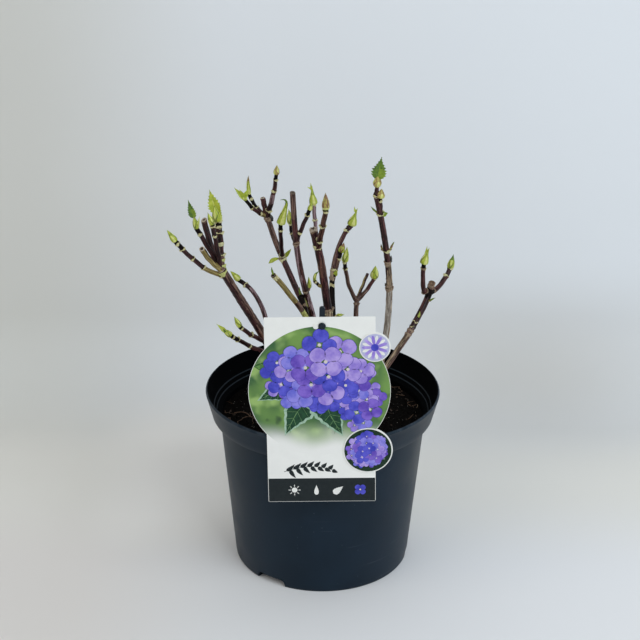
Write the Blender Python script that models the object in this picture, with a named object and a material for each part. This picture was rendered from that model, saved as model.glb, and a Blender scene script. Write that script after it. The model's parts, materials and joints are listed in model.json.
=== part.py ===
# A young hydrangea in its nursery pot, cut back, with its first buds opening.
# Metres, +Z up. The origin is the middle of the pot's flat underside. The label faces -Y.
# A heading is (bearing, lean) in degrees: bearing 0 is +X and 90 is +Y, lean is from upright.

import math

import bmesh
import bpy
import numpy as np

GAP = 0.0003  # between pieces that touch

# Pot: a black plastic 5 litre container
POT_HEIGHT = 0.178
RIM_RADIUS = 0.113
BAND_HEIGHT = 0.026
BAND_TAPER = 0.0059
BAND_STEP = 0.0074  # how far the rim band stands out from the wall
BAND_LEDGE = 0.0012  # height of the ledge under the band
LIP_DEPTH = 0.003
LIP_WIDTH = 0.0014
LIP_EASE = 0.0004
BASE_RADIUS = 0.085
BASE_ROUNDING = 0.005
HEEL = 0.001  # how far the foot of the wall stands out past the flat underside
WALL_FOOT = 0.012  # height where the wall's straight taper begins
WALL = 0.0016
FLOOR = 0.0024
POT_SIDES = 52
DRAIN_COUNT = 3
DRAIN_WIDTH = 0.032
DRAIN_HEIGHT = 0.0075
DRAIN_DEPTH = 0.012
DRAIN_BEARING = 235.0

# Compost
SOIL_TOP = 0.150
SOIL_CROWN_RADIUS = 0.055
SOIL_EDGE_DROP = 0.0025
SOIL_CLEARANCE = 0.003  # from the drain slots

# Label: a die-cut card held by a stud on a stake
CARD_WIDTH = 0.098
CARD_HEIGHT = 0.183
CARD_TOP = 0.301
CARD_THICK = 0.0006
CARD_CORNER = 0.0025
CARD_BACK_LEAN = 1.2
CARD_TURN = 1.08
CARD_TOP_X = -0.0032
CARD_TOP_Y = -0.1116
DISC_RADIUS = 0.0635
DISC_CENTRE = (-0.001, 0.072)  # across, and down from the card's top
UPPER_BADGE = (0.0483, 0.0292, 0.0141)  # across, down, radius
LOWER_BADGE = (0.042, 0.1307, 0.0225)
STUD_AT = (0.0021, 0.0083)
STUD_RADIUS = 0.0033
STUD_NECK_RADIUS = 0.0018
STUD_HEAD = 0.0016
STAKE_WIDTH = 0.005
STAKE_THICK = 0.0022
STAKE_ABOVE_STUD = 0.018
STAKE_SETBACK = 0.0017  # keeps the stake's leaning top behind the card
STAKE_FOOT_Y = -0.0925

# Wood
STEP = 0.010  # spacing of a limb's rings of points
RING_HALF = 0.0011  # half the length of the swelling at a leaf scar
RING_SWELL = 1.17
CANE_SIDES = 8
TWIG_SIDES = 6
BUD_SIDES = 6
BUD_RINGS = (0.0, 0.14, 0.34, 0.56, 0.78, 0.94, 1.0)  # shares of a bud's length
HOOKED_RINGS = (0.0, 0.12, 0.28, 0.42, 0.56, 0.68, 0.78, 0.88, 0.95, 1.0)
HOOK_FROM = 0.45  # share of its length where a hooked bud starts to bend
HOOK_BEND = 150.0  # degrees, over to -X
POINT_RADIUS = 0.0003
LEAF_THICK = 0.0008
LEAF_THICK_SHARE = 0.025  # of its length, for longer leaves
LEAF_WIDEST = 0.45  # share of its length
NOTCH_REACH = 0.86  # between the teeth of a leaf's edge

# Canes from the compost, and boughs that leave another cane. "scars" are the swollen rings
# that old leaves left, and "ends" is where the cane gives way to its head of shoots, both as
# shares of its length.
CANES = {
    "cane_far_left": dict(
        foot=(-0.016, 0.000), length=0.185, headings=((205, 25), (205, 30)),
        radii=(0.0046, 0.0039), scars=(0.30, 0.62), ends=0.92),
    "cane_front": dict(
        foot=(0.001, -0.008), length=0.257, headings=((90, 5), (240, 25), (265, 10)),
        radii=(0.0034, 0.0025), scars=(0.22, 0.55, 0.80), ends=0.77),
    "cane_middle": dict(
        foot=(0.010, 0.001), length=0.190, headings=((180, 0), (180, 5), (160, 15)),
        radii=(0.0042, 0.0037), scars=(0.34, 0.56, 0.70, 0.90), ends=0.67),
    "cane_back_right": dict(
        foot=(0.014, 0.011), length=0.178, headings=((100, 10), (100, 20), (95, 25), (35, 40)),
        radii=(0.0034, 0.0022), scars=(0.25, 0.70, 0.80, 0.91), ends=0.67),
    "cane_short": dict(
        foot=(0.030, 0.013), length=0.105, headings=((85, 10), (85, 20)),
        radii=(0.0028, 0.0023), scars=(0.40, 0.97), ends=0.93),
    "cane_tall_right": dict(
        foot=(0.047, -0.010), length=0.255, headings=((310, 10), (300, 15), (250, 15), (230, 20)),
        radii=(0.0033, 0.0026), scars=(0.18, 0.44, 0.60, 0.715, 0.765, 0.925), ends=0.735),
    "bough_back_left": dict(
        parent="cane_middle", at=0.35, length=0.145, headings=((135, 50), (130, 30)),
        radii=(0.0032, 0.0027), scars=(0.35, 0.70, 0.97), ends=0.67),
    "bough_far_right": dict(
        parent="cane_tall_right", at=0.18, length=0.104, headings=((55, 65), (50, 55), (50, 35)),
        radii=(0.0028, 0.0032), scars=(0.48, 0.62, 0.93), ends=0.52),
    "stub_olive": dict(
        parent="cane_front", at=0.35, length=0.100, headings=((240, 35), (220, 40)),
        radii=(0.0026, 0.0025), scars=(0.24, 0.97), ends=1.0),
}

# Heads of shoots. Each takes over where its cane ends, and its shoots leave the cane's own line.
# "bud" is (length, width, kind, heading): closed, hooked, opening into leaves, or crowned by a leaf.
HEADS = {
    "head_far_left": ("cane_far_left", (
        dict(at=0.95, length=0.062, headings=((200, 70), (200, 45), (200, 35)),
             radii=(0.0022, 0.0021), scars=(0.10, 0.30, 0.54, 0.75, 0.88), bud=(0.0155, 0.0066, "closed", (180, 30))),
        dict(at=1.0, length=0.033, headings=((215, 50), (230, 30)), radii=(0.0026, 0.0026), scars=(), bud=None),
        dict(at=1.0, length=0.045, headings=((170, 30),), radii=(0.0022, 0.0021), scars=(0.64, 0.94),
             bud=(0.028, 0.0060, "opening", (180, 12))),
        dict(at=1.0, length=0.048, headings=((135, 40), (120, 25)), radii=(0.0028, 0.0027), scars=(), bud=None),
        dict(at=1.0, length=0.050, headings=((240, 15),), radii=(0.0022, 0.0020), scars=(0.60, 0.92),
             bud=(0.0125, 0.0048, "closed", (180, 18))),
        dict(at=1.0, length=0.045, headings=((90, 15), (120, 15)), radii=(0.0031, 0.0029),
             scars=(0.18, 0.52, 0.78, 0.95), bud=(0.030, 0.0078, "opening", (180, 9))),
    )),
    "head_back_left": ("bough_back_left", (
        dict(at=0.70, length=0.050, headings=((265, 35), (270, 20)), radii=(0.0022, 0.0020),
             scars=(0.80, 0.95), bud=(0.031, 0.0076, "hooked", (0, 10))),
        dict(at=1.0, length=0.018, headings=((130, 20),), radii=(0.0026, 0.0026), scars=(), bud=None),
        dict(at=1.0, length=0.033, headings=((215, 65), (215, 30)), radii=(0.0019, 0.0017), scars=(0.25, 0.62),
             bud=(0.019, 0.0060, "opening", (180, 34))),
        dict(at=1.0, length=0.028, headings=((160, 65), (140, 25)), radii=(0.0018, 0.0017), scars=(0.45, 0.80),
             bud=(0.018, 0.0034, "closed", (180, 8))),
        dict(at=1.0, length=0.045, headings=((320, 20), (290, 10)), radii=(0.0027, 0.0017),
             scars=(0.14, 0.55, 0.82), bud=(0.0095, 0.0052, "closed", (0, 5))),
        dict(at=0.70, length=0.004, headings=((215, 75),), radii=(0.0014, 0.0011), scars=(),
             bud=(0.012, 0.0034, "closed", (190, 100))),
        dict(at=0.70, length=0.004, headings=((350, 60),), radii=(0.0014, 0.0011), scars=(),
             bud=(0.009, 0.0030, "closed", (350, 40))),
    )),
    "head_front": ("cane_front", (
        dict(at=0.80, length=0.018, headings=((140, 45), (100, 10)), radii=(0.0021, 0.0018),
             scars=(0.45, 0.92), bud=(0.014, 0.0052, "closed", (180, 8))),
        dict(at=0.80, length=0.038, headings=((320, 25),), radii=(0.0020, 0.0018),
             scars=(0.28, 0.82), bud=(0.009, 0.0038, "closed", (0, 15))),
    )),
    "head_middle": ("cane_middle", (
        dict(at=0.69, length=0.016, headings=((200, 70), (220, 30)), radii=(0.0014, 0.0011),
             scars=(0.85,), bud=(0.010, 0.0028, "closed", (200, 5))),
        dict(at=0.90, length=0.040, headings=((105, 30), (105, 20)), radii=(0.0019, 0.0018),
             scars=(0.62, 0.92), bud=(0.021, 0.0064, "opening", (180, 14))),
        dict(at=0.90, length=0.050, headings=((290, 30), (290, 20)), radii=(0.0027, 0.0024),
             scars=(0.20, 0.58, 0.94), bud=(0.0165, 0.0064, "closed", (180, 1))),
    )),
    "head_back_right": ("cane_back_right", (
        dict(at=0.70, length=0.030, headings=((45, 30), (45, 25)), radii=(0.0019, 0.0017),
             scars=(0.35, 0.90), bud=(0.010, 0.0048, "closed", (0, 18))),
        dict(at=1.0, length=0.003, headings=((40, 40),), radii=(0.0022, 0.0021), scars=(),
             bud=(0.0185, 0.0068, "closed", (0, 16))),
    )),
    "head_short": ("cane_short", (
        dict(at=1.0, length=0.050, headings=((210, 35), (235, 20), (235, 10)), radii=(0.0020, 0.0018),
             scars=(0.30, 0.80, 0.95), bud=(0.015, 0.0058, "closed", (0, 9))),
        dict(at=1.0, length=0.028, headings=((50, 35),), radii=(0.0017, 0.0015), scars=(), bud=None),
        dict(at=1.0, length=0.026, headings=((30, 60), (30, 30)), radii=(0.0020, 0.0018), scars=(0.35, 0.92),
             bud=(0.0145, 0.0058, "closed", (0, 13))),
    )),
    "head_tall_right": ("cane_tall_right", (
        dict(at=0.765, length=0.005, headings=((185, 75),), radii=(0.0012, 0.0010), scars=(),
             bud=(0.003, 0.0018, "closed", (200, 20))),
        dict(at=0.765, length=0.005, headings=((355, 70),), radii=(0.0013, 0.0011), scars=(),
             bud=(0.006, 0.0022, "closed", (0, 20))),
        dict(at=0.90, length=0.020, headings=((95, 20),), radii=(0.0018, 0.0017),
             scars=(0.85,), bud=(0.009, 0.0052, "closed", (0, 6))),
        dict(at=0.92, length=0.003, headings=((340, 80),), radii=(0.0012, 0.0011), scars=(),
             bud=(0.004, 0.0030, "closed", (0, 75))),
        dict(at=1.0, length=0.007, headings=((270, 10),), radii=(0.0025, 0.0023), scars=(0.5,),
             bud=(0.011, 0.0078, "crowned", (0, 3))),
    )),
    "head_far_right": ("bough_far_right", (
        dict(at=0.74, length=0.003, headings=((290, 60),), radii=(0.0012, 0.0010), scars=(),
             bud=(0.008, 0.0034, "closed", (0, 12))),
        dict(at=1.0, length=0.045, headings=((240, 55), (270, 10)), radii=(0.0023, 0.0021),
             scars=(0.30, 0.93), bud=(0.020, 0.0068, "closed", (0, 7))),
        dict(at=1.0, length=0.012, headings=((60, 20),), radii=(0.0022, 0.0020), scars=(), bud=None),
        dict(at=1.0, length=0.038, headings=((45, 95), (50, 60), (50, 35)), radii=(0.0025, 0.0023),
             scars=(0.32, 0.93), bud=(0.015, 0.0060, "closed", (0, 12))),
    )),
}

# Shoots that leave the side of a cane on their own
SIDE_SHOOTS = {
    "shoot_arching": dict(
        parent="cane_far_left", at=0.45, length=0.078, headings=((100, 35), (115, 50), (145, 70)),
        radii=(0.0025, 0.0021), scars=(0.38, 0.88), bud=(0.0125, 0.0054, "closed", (180, 41))),
    "shoot_low_inner": dict(
        parent="cane_far_left", at=0.50, length=0.047, headings=((230, 60), (230, 45)),
        radii=(0.0021, 0.0019), scars=(0.55, 0.92), bud=(0.0115, 0.0048, "closed", (180, 27))),
    "shoot_low_outer": dict(
        parent="cane_far_left", at=0.40, length=0.068, headings=((220, 60), (230, 50)),
        radii=(0.0021, 0.0019), scars=(0.55, 0.94), bud=(0.016, 0.0056, "opening", (180, 50))),
    "twig_front_left": dict(
        parent="cane_front", at=0.545, length=0.009, headings=((190, 60), (190, 30)),
        radii=(0.0012, 0.0010), scars=(), bud=(0.006, 0.0022, "closed", (180, 12))),
    "twig_front_right": dict(
        parent="cane_front", at=0.56, length=0.008, headings=((350, 40), (340, 15)),
        radii=(0.0013, 0.0011), scars=(), bud=(0.0095, 0.0032, "closed", (185, 6))),
    "twig_back_right": dict(
        parent="cane_back_right", at=0.50, length=0.006, headings=((345, 60),),
        radii=(0.0012, 0.0010), scars=(), bud=(0.007, 0.0030, "closed", (350, 80))),
}

TOP_LEAF_LENGTH = 0.0245
TOP_LEAF_WIDTH = 0.0145
TOP_LEAF_HEADING = (350, 9)
TOP_LEAF_FACE = (275, 75)
OPENING_LEAVES = ((0, 7, 0.84), (150, -2, 0.52))  # bearing and lean off the bud's, and reach
OPENING_FACE = (285, 80)
OPENING_CORE = 0.72  # length of the bud inside opening leaves, as a share of theirs
LEAVES_OPEN_AT = 0.18
TOP_LEAF_AT = 0.75  # share up the bud where the top leaf starts
BUD_SINK = 0.0012  # how deep a bud sits in the tip of its shoot


def clear_scene():
    for obj in list(bpy.data.objects):
        bpy.data.objects.remove(obj, do_unlink=True)


def make_material(name, colour, roughness, metallic=0.0):
    material = bpy.data.materials.new(name)
    material.use_nodes = True
    shader = material.node_tree.nodes["Principled BSDF"]
    shader.inputs["Base Color"].default_value = (*colour, 1.0)
    shader.inputs["Roughness"].default_value = roughness
    shader.inputs["Metallic"].default_value = metallic
    return material


def finish(work, name, material, smooth_angle=40.0):
    """Turns a bmesh into a named object at the origin."""
    bmesh.ops.recalc_face_normals(work, faces=work.faces)
    mesh = bpy.data.meshes.new(name)
    work.to_mesh(mesh)
    work.free()
    mesh.materials.append(material)
    mesh.shade_smooth()
    mesh.set_sharp_from_angle(angle=math.radians(smooth_angle))
    obj = bpy.data.objects.new(name, mesh)
    bpy.context.scene.collection.objects.link(obj)
    return obj


# ---- growth ----

def direction(bearing, lean):
    bearing, lean = math.radians(bearing), math.radians(lean)
    flat = math.sin(lean)
    return np.array((flat * math.cos(bearing), flat * math.sin(bearing), math.cos(lean)))


def heading_at(headings, share):
    """The way a limb grows at this share of its length: its headings, blended evenly along it."""
    place = share * (len(headings) - 1)
    index = min(int(place), max(len(headings) - 2, 0))
    blend = place - index
    way = direction(*headings[index]) * (1 - blend)
    if blend:
        way = way + direction(*headings[index + 1]) * blend
    return way / np.linalg.norm(way)


class Limb:
    """A limb's centre line, grown from its start in small even steps, with a radius along it."""

    FINE = 48

    def __init__(self, start, spec):
        self.length = spec["length"]
        self.radii = spec["radii"]
        self.scars = spec["scars"]
        stride = self.length / self.FINE
        self.ways = [heading_at(spec["headings"], i / self.FINE) for i in range(self.FINE + 1)]
        places = [np.array(start, float)]
        for i in range(self.FINE):
            places.append(places[-1] + heading_at(spec["headings"], (i + 0.5) / self.FINE) * stride)
        self.places = np.array(places)

    def place(self, share):
        fine = np.linspace(0, 1, self.FINE + 1)
        return np.array([np.interp(share, fine, self.places[:, k]) for k in range(3)])

    def way(self, share):
        index = min(int(share * self.FINE), self.FINE - 1)
        way = self.ways[index] + self.ways[index + 1]
        return way / np.linalg.norm(way)

    def radius(self, share):
        first, last = self.radii
        return first + (last - first) * share

    def rings(self, start, end):
        """(share, radius) for each ring of points, with a swelling at each leaf scar."""
        count = max(2, round((end - start) * self.length / STEP))
        half = RING_HALF / self.length
        swellings = [s for s in self.scars if start + 2 * half < s < end - 2 * half]
        plain = np.linspace(start, end, count + 1)
        shares = [s for s in plain if all(abs(s - scar) > 2.2 * half for scar in swellings) or s in (start, end)]
        rings = [(s, self.radius(s)) for s in shares]
        for scar in swellings:
            rings += [(scar - half, self.radius(scar)), (scar, self.radius(scar) * RING_SWELL),
                      (scar + half, self.radius(scar))]
        return sorted(rings)


# ---- shapes ----

def across(way):
    """Two directions square to this one."""
    side = np.cross(way, (0.0, 1.0, 0.0))
    if np.linalg.norm(side) < 0.1:
        side = np.cross(way, (1.0, 0.0, 0.0))
    side = side / np.linalg.norm(side)
    return side, np.cross(way, side)


def add_tube(work, places, ways, radii, sides):
    """A closed tube with flat ends through these places."""
    side, _ = across(ways[0])
    previous = None
    for place, way, radius in zip(places, ways, radii):
        side = side - way * np.dot(side, way)
        side = side / np.linalg.norm(side)
        other = np.cross(way, side)
        turns = [2 * math.pi * k / sides for k in range(sides)]
        ring = [work.verts.new(place + radius * (math.cos(t) * side + math.sin(t) * other)) for t in turns]
        if previous is None:
            work.faces.new(ring[::-1])
        else:
            for k in range(sides):
                after = (k + 1) % sides
                work.faces.new((previous[k], previous[after], ring[after], ring[k]))
        previous = ring
    work.faces.new(previous)


def limb_piece(limb, start, end, sides, name, material, grow_by=0.0):
    rings = limb.rings(start, end)
    work = bmesh.new()
    add_tube(work, [limb.place(s) for s, _ in rings], [limb.way(s) for s, _ in rings],
             [r + grow_by for _, r in rings], sides)
    return finish(work, name, material)


def bud_profile(share):
    """A bud's radius along it, as a share of its half width: full low down, drawn to a point."""
    return 0.45 * (1 - share) ** 2 + math.sin(math.pi * share ** 0.75) ** 0.9 + 0.03


def add_bud(work, base, way, length, width, hooked=False):
    """A pointed bud. The tip of a hooked one bends over."""
    place, places, ways, radii = np.array(base), [], [], []
    last = 0.0
    for share in HOOKED_RINGS if hooked else BUD_RINGS:
        bend = math.radians(HOOK_BEND) * max(0.0, share - HOOK_FROM) ** 1.3 if hooked else 0.0
        turned = way * math.cos(bend) - np.array((1.0, 0.0, 0.0)) * math.sin(bend)
        turned = turned / np.linalg.norm(turned)
        place = place + turned * (share - last) * length
        last = share
        places.append(place)
        ways.append(turned)
        radii.append(max(POINT_RADIUS, width / 2 * bud_profile(share)))
    add_tube(work, places, ways, radii, BUD_SIDES)


def add_leaf(work, base, way, face, length, width, teeth=0):
    """A closed leaf blade, thickest along its midrib. Teeth notches its edge."""
    side = np.cross(way, face)
    side = side / np.linalg.norm(side)
    thick = max(LEAF_THICK, length * LEAF_THICK_SHARE)
    count = 3 + 2 * teeth
    spine = [work.verts.new(base + way * length * LEAF_WIDEST + face * thick * s) for s in (0.5, -0.5)]
    edge = [base]
    for sign in (1, -1):
        run = range(1, count + 1) if sign > 0 else range(count, 0, -1)
        for k in run:
            share = k / (count + 1)
            reach = math.sin(math.pi * share ** 0.8) ** 0.9
            if teeth and k % 2 == 0:
                reach *= NOTCH_REACH
            edge.append(base + way * length * share + side * sign * width / 2 * reach)
        if sign > 0:
            edge.append(base + way * length)
    points = [work.verts.new(p) for p in edge]
    for k in range(len(points)):
        after = (k + 1) % len(points)
        work.faces.new((spine[0], points[k], points[after]))
        work.faces.new((spine[1], points[after], points[k]))


def bud_pieces(limb, bud, name, material):
    """The bud at a shoot's tip, sunk into it, with the leaves that open from it."""
    length, width, kind, heading = bud
    base = limb.place(1.0) - limb.way(1.0) * BUD_SINK
    way = direction(*heading)
    pieces = []

    def add(shape):
        work = bmesh.new()
        shape(work)
        pieces.append(finish(work, f"{name}_bud_{len(pieces)}", material))

    if kind == "hooked":
        add(lambda work: add_bud(work, base, way, length, width, hooked=True))
        return pieces
    if kind == "crowned":
        add(lambda work: add_bud(work, base, way, length, width))
        leaf_way = direction(*TOP_LEAF_HEADING)
        leaf_face = direction(*TOP_LEAF_FACE)
        leaf_face = leaf_face - leaf_way * np.dot(leaf_face, leaf_way)
        leaf_face = leaf_face / np.linalg.norm(leaf_face)
        leaf_base = base + way * length * TOP_LEAF_AT
        add(lambda work: add_leaf(work, leaf_base, leaf_way, leaf_face, TOP_LEAF_LENGTH, TOP_LEAF_WIDTH, teeth=3))
        return pieces
    if kind == "opening":
        add(lambda work: add_bud(work, base, way, length * OPENING_CORE, width))
        for turn, lean, reach in OPENING_LEAVES:
            leaf_way = direction(heading[0] + turn, heading[1] + lean)
            face = direction(OPENING_FACE[0] + turn, OPENING_FACE[1])
            face = face - leaf_way * np.dot(face, leaf_way)
            face = face / np.linalg.norm(face)
            start = base + way * length * LEAVES_OPEN_AT
            add(lambda work: add_leaf(work, start, leaf_way, face, length * reach, width, teeth=1))
        return pieces
    add(lambda work: add_bud(work, base, way, length, width))
    return pieces


# ---- joining and trimming ----

def evaluated_copy(obj):
    graph = bpy.context.evaluated_depsgraph_get()
    return bpy.data.meshes.new_from_object(obj.evaluated_get(graph))


def fuse(pieces, name):
    """Joins closed pieces into one with a Boolean union, and removes them."""
    base, others = pieces[0], pieces[1:]
    base.name = name
    if not others:
        return base
    group = bpy.data.collections.new(name + "_pieces")
    bpy.context.scene.collection.children.link(group)
    for piece in others:
        bpy.context.scene.collection.objects.unlink(piece)
        group.objects.link(piece)
    union = base.modifiers.new("union", "BOOLEAN")
    union.operation = "UNION"
    union.operand_type = "COLLECTION"
    union.collection = group
    union.solver = "MANIFOLD"
    mesh = evaluated_copy(base)
    base.modifiers.remove(union)
    base.data = mesh
    mesh.name = name
    for piece in others:
        bpy.data.objects.remove(piece, do_unlink=True)
    bpy.data.collections.remove(group)
    return base


def cut(obj, cutter):
    """Cuts one closed piece from another, and removes the cutter."""
    difference = obj.modifiers.new("cut", "BOOLEAN")
    difference.operation = "DIFFERENCE"
    difference.object = cutter
    mesh = evaluated_copy(obj)
    obj.modifiers.remove(difference)
    obj.data = mesh
    mesh.name = obj.name
    bpy.data.objects.remove(cutter, do_unlink=True)


# ---- pot and compost ----

def wall_radius(height):
    """Outer radius of the wall below the band."""
    band_bottom = POT_HEIGHT - BAND_HEIGHT
    top = RIM_RADIUS - BAND_TAPER - BAND_STEP
    share = min(1.0, max(0.0, (height - BASE_ROUNDING) / (band_bottom - BASE_ROUNDING)))
    return BASE_RADIUS + HEEL + (top - BASE_RADIUS - HEEL) * share


def turned_piece(profile, name, material):
    """A profile of (radius, height) points turned round Z, closed where it meets the axis."""
    work = bmesh.new()
    rings = []
    for radius, height in profile:
        if radius < 1e-6:
            rings.append([work.verts.new((0.0, 0.0, height))])
            continue
        turns = [2 * math.pi * k / POT_SIDES for k in range(POT_SIDES)]
        rings.append([work.verts.new((radius * math.cos(t), radius * math.sin(t), height)) for t in turns])
    for lower, upper in zip(rings, rings[1:]):
        for k in range(POT_SIDES):
            after = (k + 1) % POT_SIDES
            corners = [lower[k % len(lower)], lower[after % len(lower)],
                       upper[after % len(upper)], upper[k % len(upper)]]
            work.faces.new(list(dict.fromkeys(corners)))
    return finish(work, name, material)


def make_pot(material):
    band_bottom = POT_HEIGHT - BAND_HEIGHT
    band_bottom_radius = RIM_RADIUS - BAND_TAPER
    outer = [(0.0, 0.0), (BASE_RADIUS, 0.0), (BASE_RADIUS + HEEL * 0.8, BASE_ROUNDING / 2),
             (wall_radius(WALL_FOOT), WALL_FOOT), (wall_radius(band_bottom), band_bottom),
             (band_bottom_radius, band_bottom + BAND_LEDGE),
             (RIM_RADIUS - LIP_EASE, POT_HEIGHT - LIP_DEPTH), (RIM_RADIUS, POT_HEIGHT - LIP_DEPTH * 0.6),
             (RIM_RADIUS - LIP_WIDTH / 2, POT_HEIGHT - LIP_DEPTH * 0.1), (RIM_RADIUS - LIP_WIDTH, POT_HEIGHT)]
    inner = [(RIM_RADIUS - WALL * 1.5, POT_HEIGHT - LIP_EASE),
             (RIM_RADIUS - LIP_WIDTH - WALL, POT_HEIGHT - LIP_DEPTH),
             (band_bottom_radius - WALL, band_bottom + BAND_LEDGE + WALL),
             (wall_radius(band_bottom) - WALL, band_bottom + BAND_LEDGE),
             (wall_radius(WALL_FOOT) - WALL, WALL_FOOT), (BASE_RADIUS - WALL, FLOOR * 1.4),
             (BASE_RADIUS - WALL * 2.2, FLOOR), (0.0, FLOOR)]
    pot = turned_piece(outer + inner, "pot", material)
    for k in range(DRAIN_COUNT):
        turn = math.radians(DRAIN_BEARING + 360.0 / DRAIN_COUNT * k)
        cut(pot, drain_cutter(turn))
    pot.data.shade_smooth()
    pot.data.set_sharp_from_angle(angle=math.radians(35))
    return pot


def drain_cutter(turn):
    """A slot with a rounded top through the corner of wall and floor."""
    half, steps = DRAIN_WIDTH / 2, 4
    outline = [(-half, -FLOOR), (half, -FLOOR)]
    rounding = DRAIN_HEIGHT * 0.7
    for k in range(steps + 1):
        t = math.pi / 2 * k / steps
        outline.append((half - rounding + rounding * math.cos(t), DRAIN_HEIGHT - rounding + rounding * math.sin(t)))
    for k in range(steps + 1):
        t = math.pi / 2 * (1 + k / steps)
        outline.append((rounding - half + rounding * math.cos(t), DRAIN_HEIGHT - rounding + rounding * math.sin(t)))
    out = np.array((math.cos(turn), math.sin(turn), 0.0))
    along = np.array((-math.sin(turn), math.cos(turn), 0.0))
    work = bmesh.new()
    faces = []
    for reach in (BASE_RADIUS - DRAIN_DEPTH, BASE_RADIUS + DRAIN_DEPTH):
        faces.append([work.verts.new(out * reach + along * a + np.array((0, 0, z))) for a, z in outline])
    work.faces.new(faces[0][::-1])
    work.faces.new(faces[1])
    for k in range(len(outline)):
        after = (k + 1) % len(outline)
        work.faces.new((faces[0][k], faces[0][after], faces[1][after], faces[1][k]))
    cutter = finish(work, "drain_cutter", bpy.data.materials["pot plastic"])
    cutter.hide_render = True
    return cutter


def make_soil(material):
    """Compost that fills the pot, a little lower at the wall, and stops short of the drain slots."""
    bottom = DRAIN_HEIGHT + GAP * 3
    clear_of_slots = BASE_RADIUS - DRAIN_DEPTH - SOIL_CLEARANCE
    edge = SOIL_TOP - SOIL_EDGE_DROP
    inset = WALL + GAP * 3
    profile = [(0.0, FLOOR + GAP), (clear_of_slots, FLOOR + GAP), (clear_of_slots + SOIL_CLEARANCE / 2, bottom),
               (wall_radius(bottom) - inset - SOIL_CLEARANCE, bottom),
               (wall_radius(WALL_FOOT) - inset, WALL_FOOT + GAP * 3), (wall_radius(edge) - inset, edge),
               (wall_radius(edge) * 0.84, SOIL_TOP - SOIL_EDGE_DROP * 0.4),
               (SOIL_CROWN_RADIUS, SOIL_TOP), (0.0, SOIL_TOP)]
    return turned_piece(profile, "soil", material)


# ---- label ----

def card_frame():
    """Centre of the card's top edge, and its across, down and front directions."""
    turn, lean = math.radians(CARD_TURN), math.radians(CARD_BACK_LEAN)
    front = np.array((0.0, -math.cos(lean), math.sin(lean)))
    steep = np.array((0.0, -math.sin(lean), -math.cos(lean)))
    flat = np.array((1.0, 0.0, 0.0))
    across_card = flat * math.cos(turn) - steep * math.sin(turn)
    down_card = steep * math.cos(turn) + flat * math.sin(turn)
    return np.array((CARD_TOP_X, CARD_TOP_Y, CARD_TOP)), across_card, down_card, front


def on_card(across_by, down_by, front_by=0.0):
    top, across_card, down_card, front = card_frame()
    return top + across_card * across_by + down_card * down_by + front * front_by


def plate(outline, back, front, name, material):
    """An outline of (across, down) points on the card, made solid between two depths."""
    work = bmesh.new()
    sides = [[work.verts.new(on_card(a, d, depth)) for a, d in outline] for depth in (back, front)]
    work.faces.new(sides[0])
    work.faces.new(sides[1][::-1])
    for k in range(len(outline)):
        after = (k + 1) % len(outline)
        work.faces.new((sides[0][k], sides[1][k], sides[1][after], sides[0][after]))
    return finish(work, name, material)


def disc_outline(centre, radius, sides):
    turns = [2 * math.pi * k / sides for k in range(sides)]
    return [(centre[0] + radius * math.cos(t), centre[1] + radius * math.sin(t)) for t in turns]


def card_outline():
    half, radius = CARD_WIDTH / 2, CARD_CORNER
    corners = ((half - radius, radius, -90), (half - radius, CARD_HEIGHT - radius, 0),
               (radius - half, CARD_HEIGHT - radius, 90), (radius - half, radius, 180))
    outline = []
    for a, d, start in corners:
        for k in range(4):
            t = math.radians(start + 30 * k)
            outline.append((a + radius * math.cos(t), d + radius * math.sin(t)))
    return outline


def make_card(material):
    """The card, its round picture that stands out past both edges, and two round badges, in one sheet."""
    shapes = [card_outline(), disc_outline(DISC_CENTRE, DISC_RADIUS, 48),
              disc_outline(UPPER_BADGE[:2], UPPER_BADGE[2], 24), disc_outline(LOWER_BADGE[:2], LOWER_BADGE[2], 28)]
    pieces = [plate(shape, 0.0, CARD_THICK, f"card_{k}", material) for k, shape in enumerate(shapes)]
    card = fuse(pieces, "label_card")
    hole = plate(disc_outline(STUD_AT, STUD_NECK_RADIUS + GAP, 16), -CARD_THICK, CARD_THICK * 2, "hole_cutter", material)
    cut(card, hole)
    return card


def make_stake(material):
    """The stake behind the card, its stud through the hole and the stud's head in front."""
    behind = -STAKE_SETBACK - STAKE_THICK / 2
    stud = on_card(*STUD_AT, behind)
    foot = np.array((stud[0], STAKE_FOOT_Y, SOIL_TOP + GAP))
    rise = stud - foot
    rise = rise / np.linalg.norm(rise)
    top = stud + rise * STAKE_ABOVE_STUD
    half, thick = STAKE_WIDTH / 2, STAKE_THICK / 2
    sideways = np.array((1.0, 0.0, 0.0))
    facing = np.cross(rise, sideways)
    outline = [foot - sideways * half, foot + sideways * half]
    for k in range(9):
        t = math.pi * k / 8
        outline.append(top - rise * half + sideways * half * math.cos(t) + rise * half * math.sin(t))
    work = bmesh.new()
    sheets = [[work.verts.new(p + facing * depth) for p in outline] for depth in (-thick, thick)]
    for sheet in sheets:
        for vertex in sheet[:2]:
            vertex.co.z = SOIL_TOP + GAP
    work.faces.new(sheets[0])
    work.faces.new(sheets[1][::-1])
    for k in range(len(outline)):
        after = (k + 1) % len(outline)
        work.faces.new((sheets[0][k], sheets[1][k], sheets[1][after], sheets[0][after]))
    stake = finish(work, "stake", material)
    neck = plate(disc_outline(STUD_AT, STUD_NECK_RADIUS, 14), behind, CARD_THICK + GAP + STUD_HEAD / 2, "neck", material)
    head_back = CARD_THICK + GAP
    head = plate(disc_outline(STUD_AT, STUD_RADIUS, 18), head_back, head_back + STUD_HEAD, "stud_head", material)
    return fuse([stake, neck, head], "label_stake")


# ---- the plant ----

def grow_canes():
    limbs = {}
    for name, spec in CANES.items():
        if "foot" in spec:
            start = (*spec["foot"], SOIL_TOP + GAP)
        else:
            start = limbs[spec["parent"]].place(spec["at"])
        limbs[name] = Limb(start, spec)
    return limbs


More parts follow.
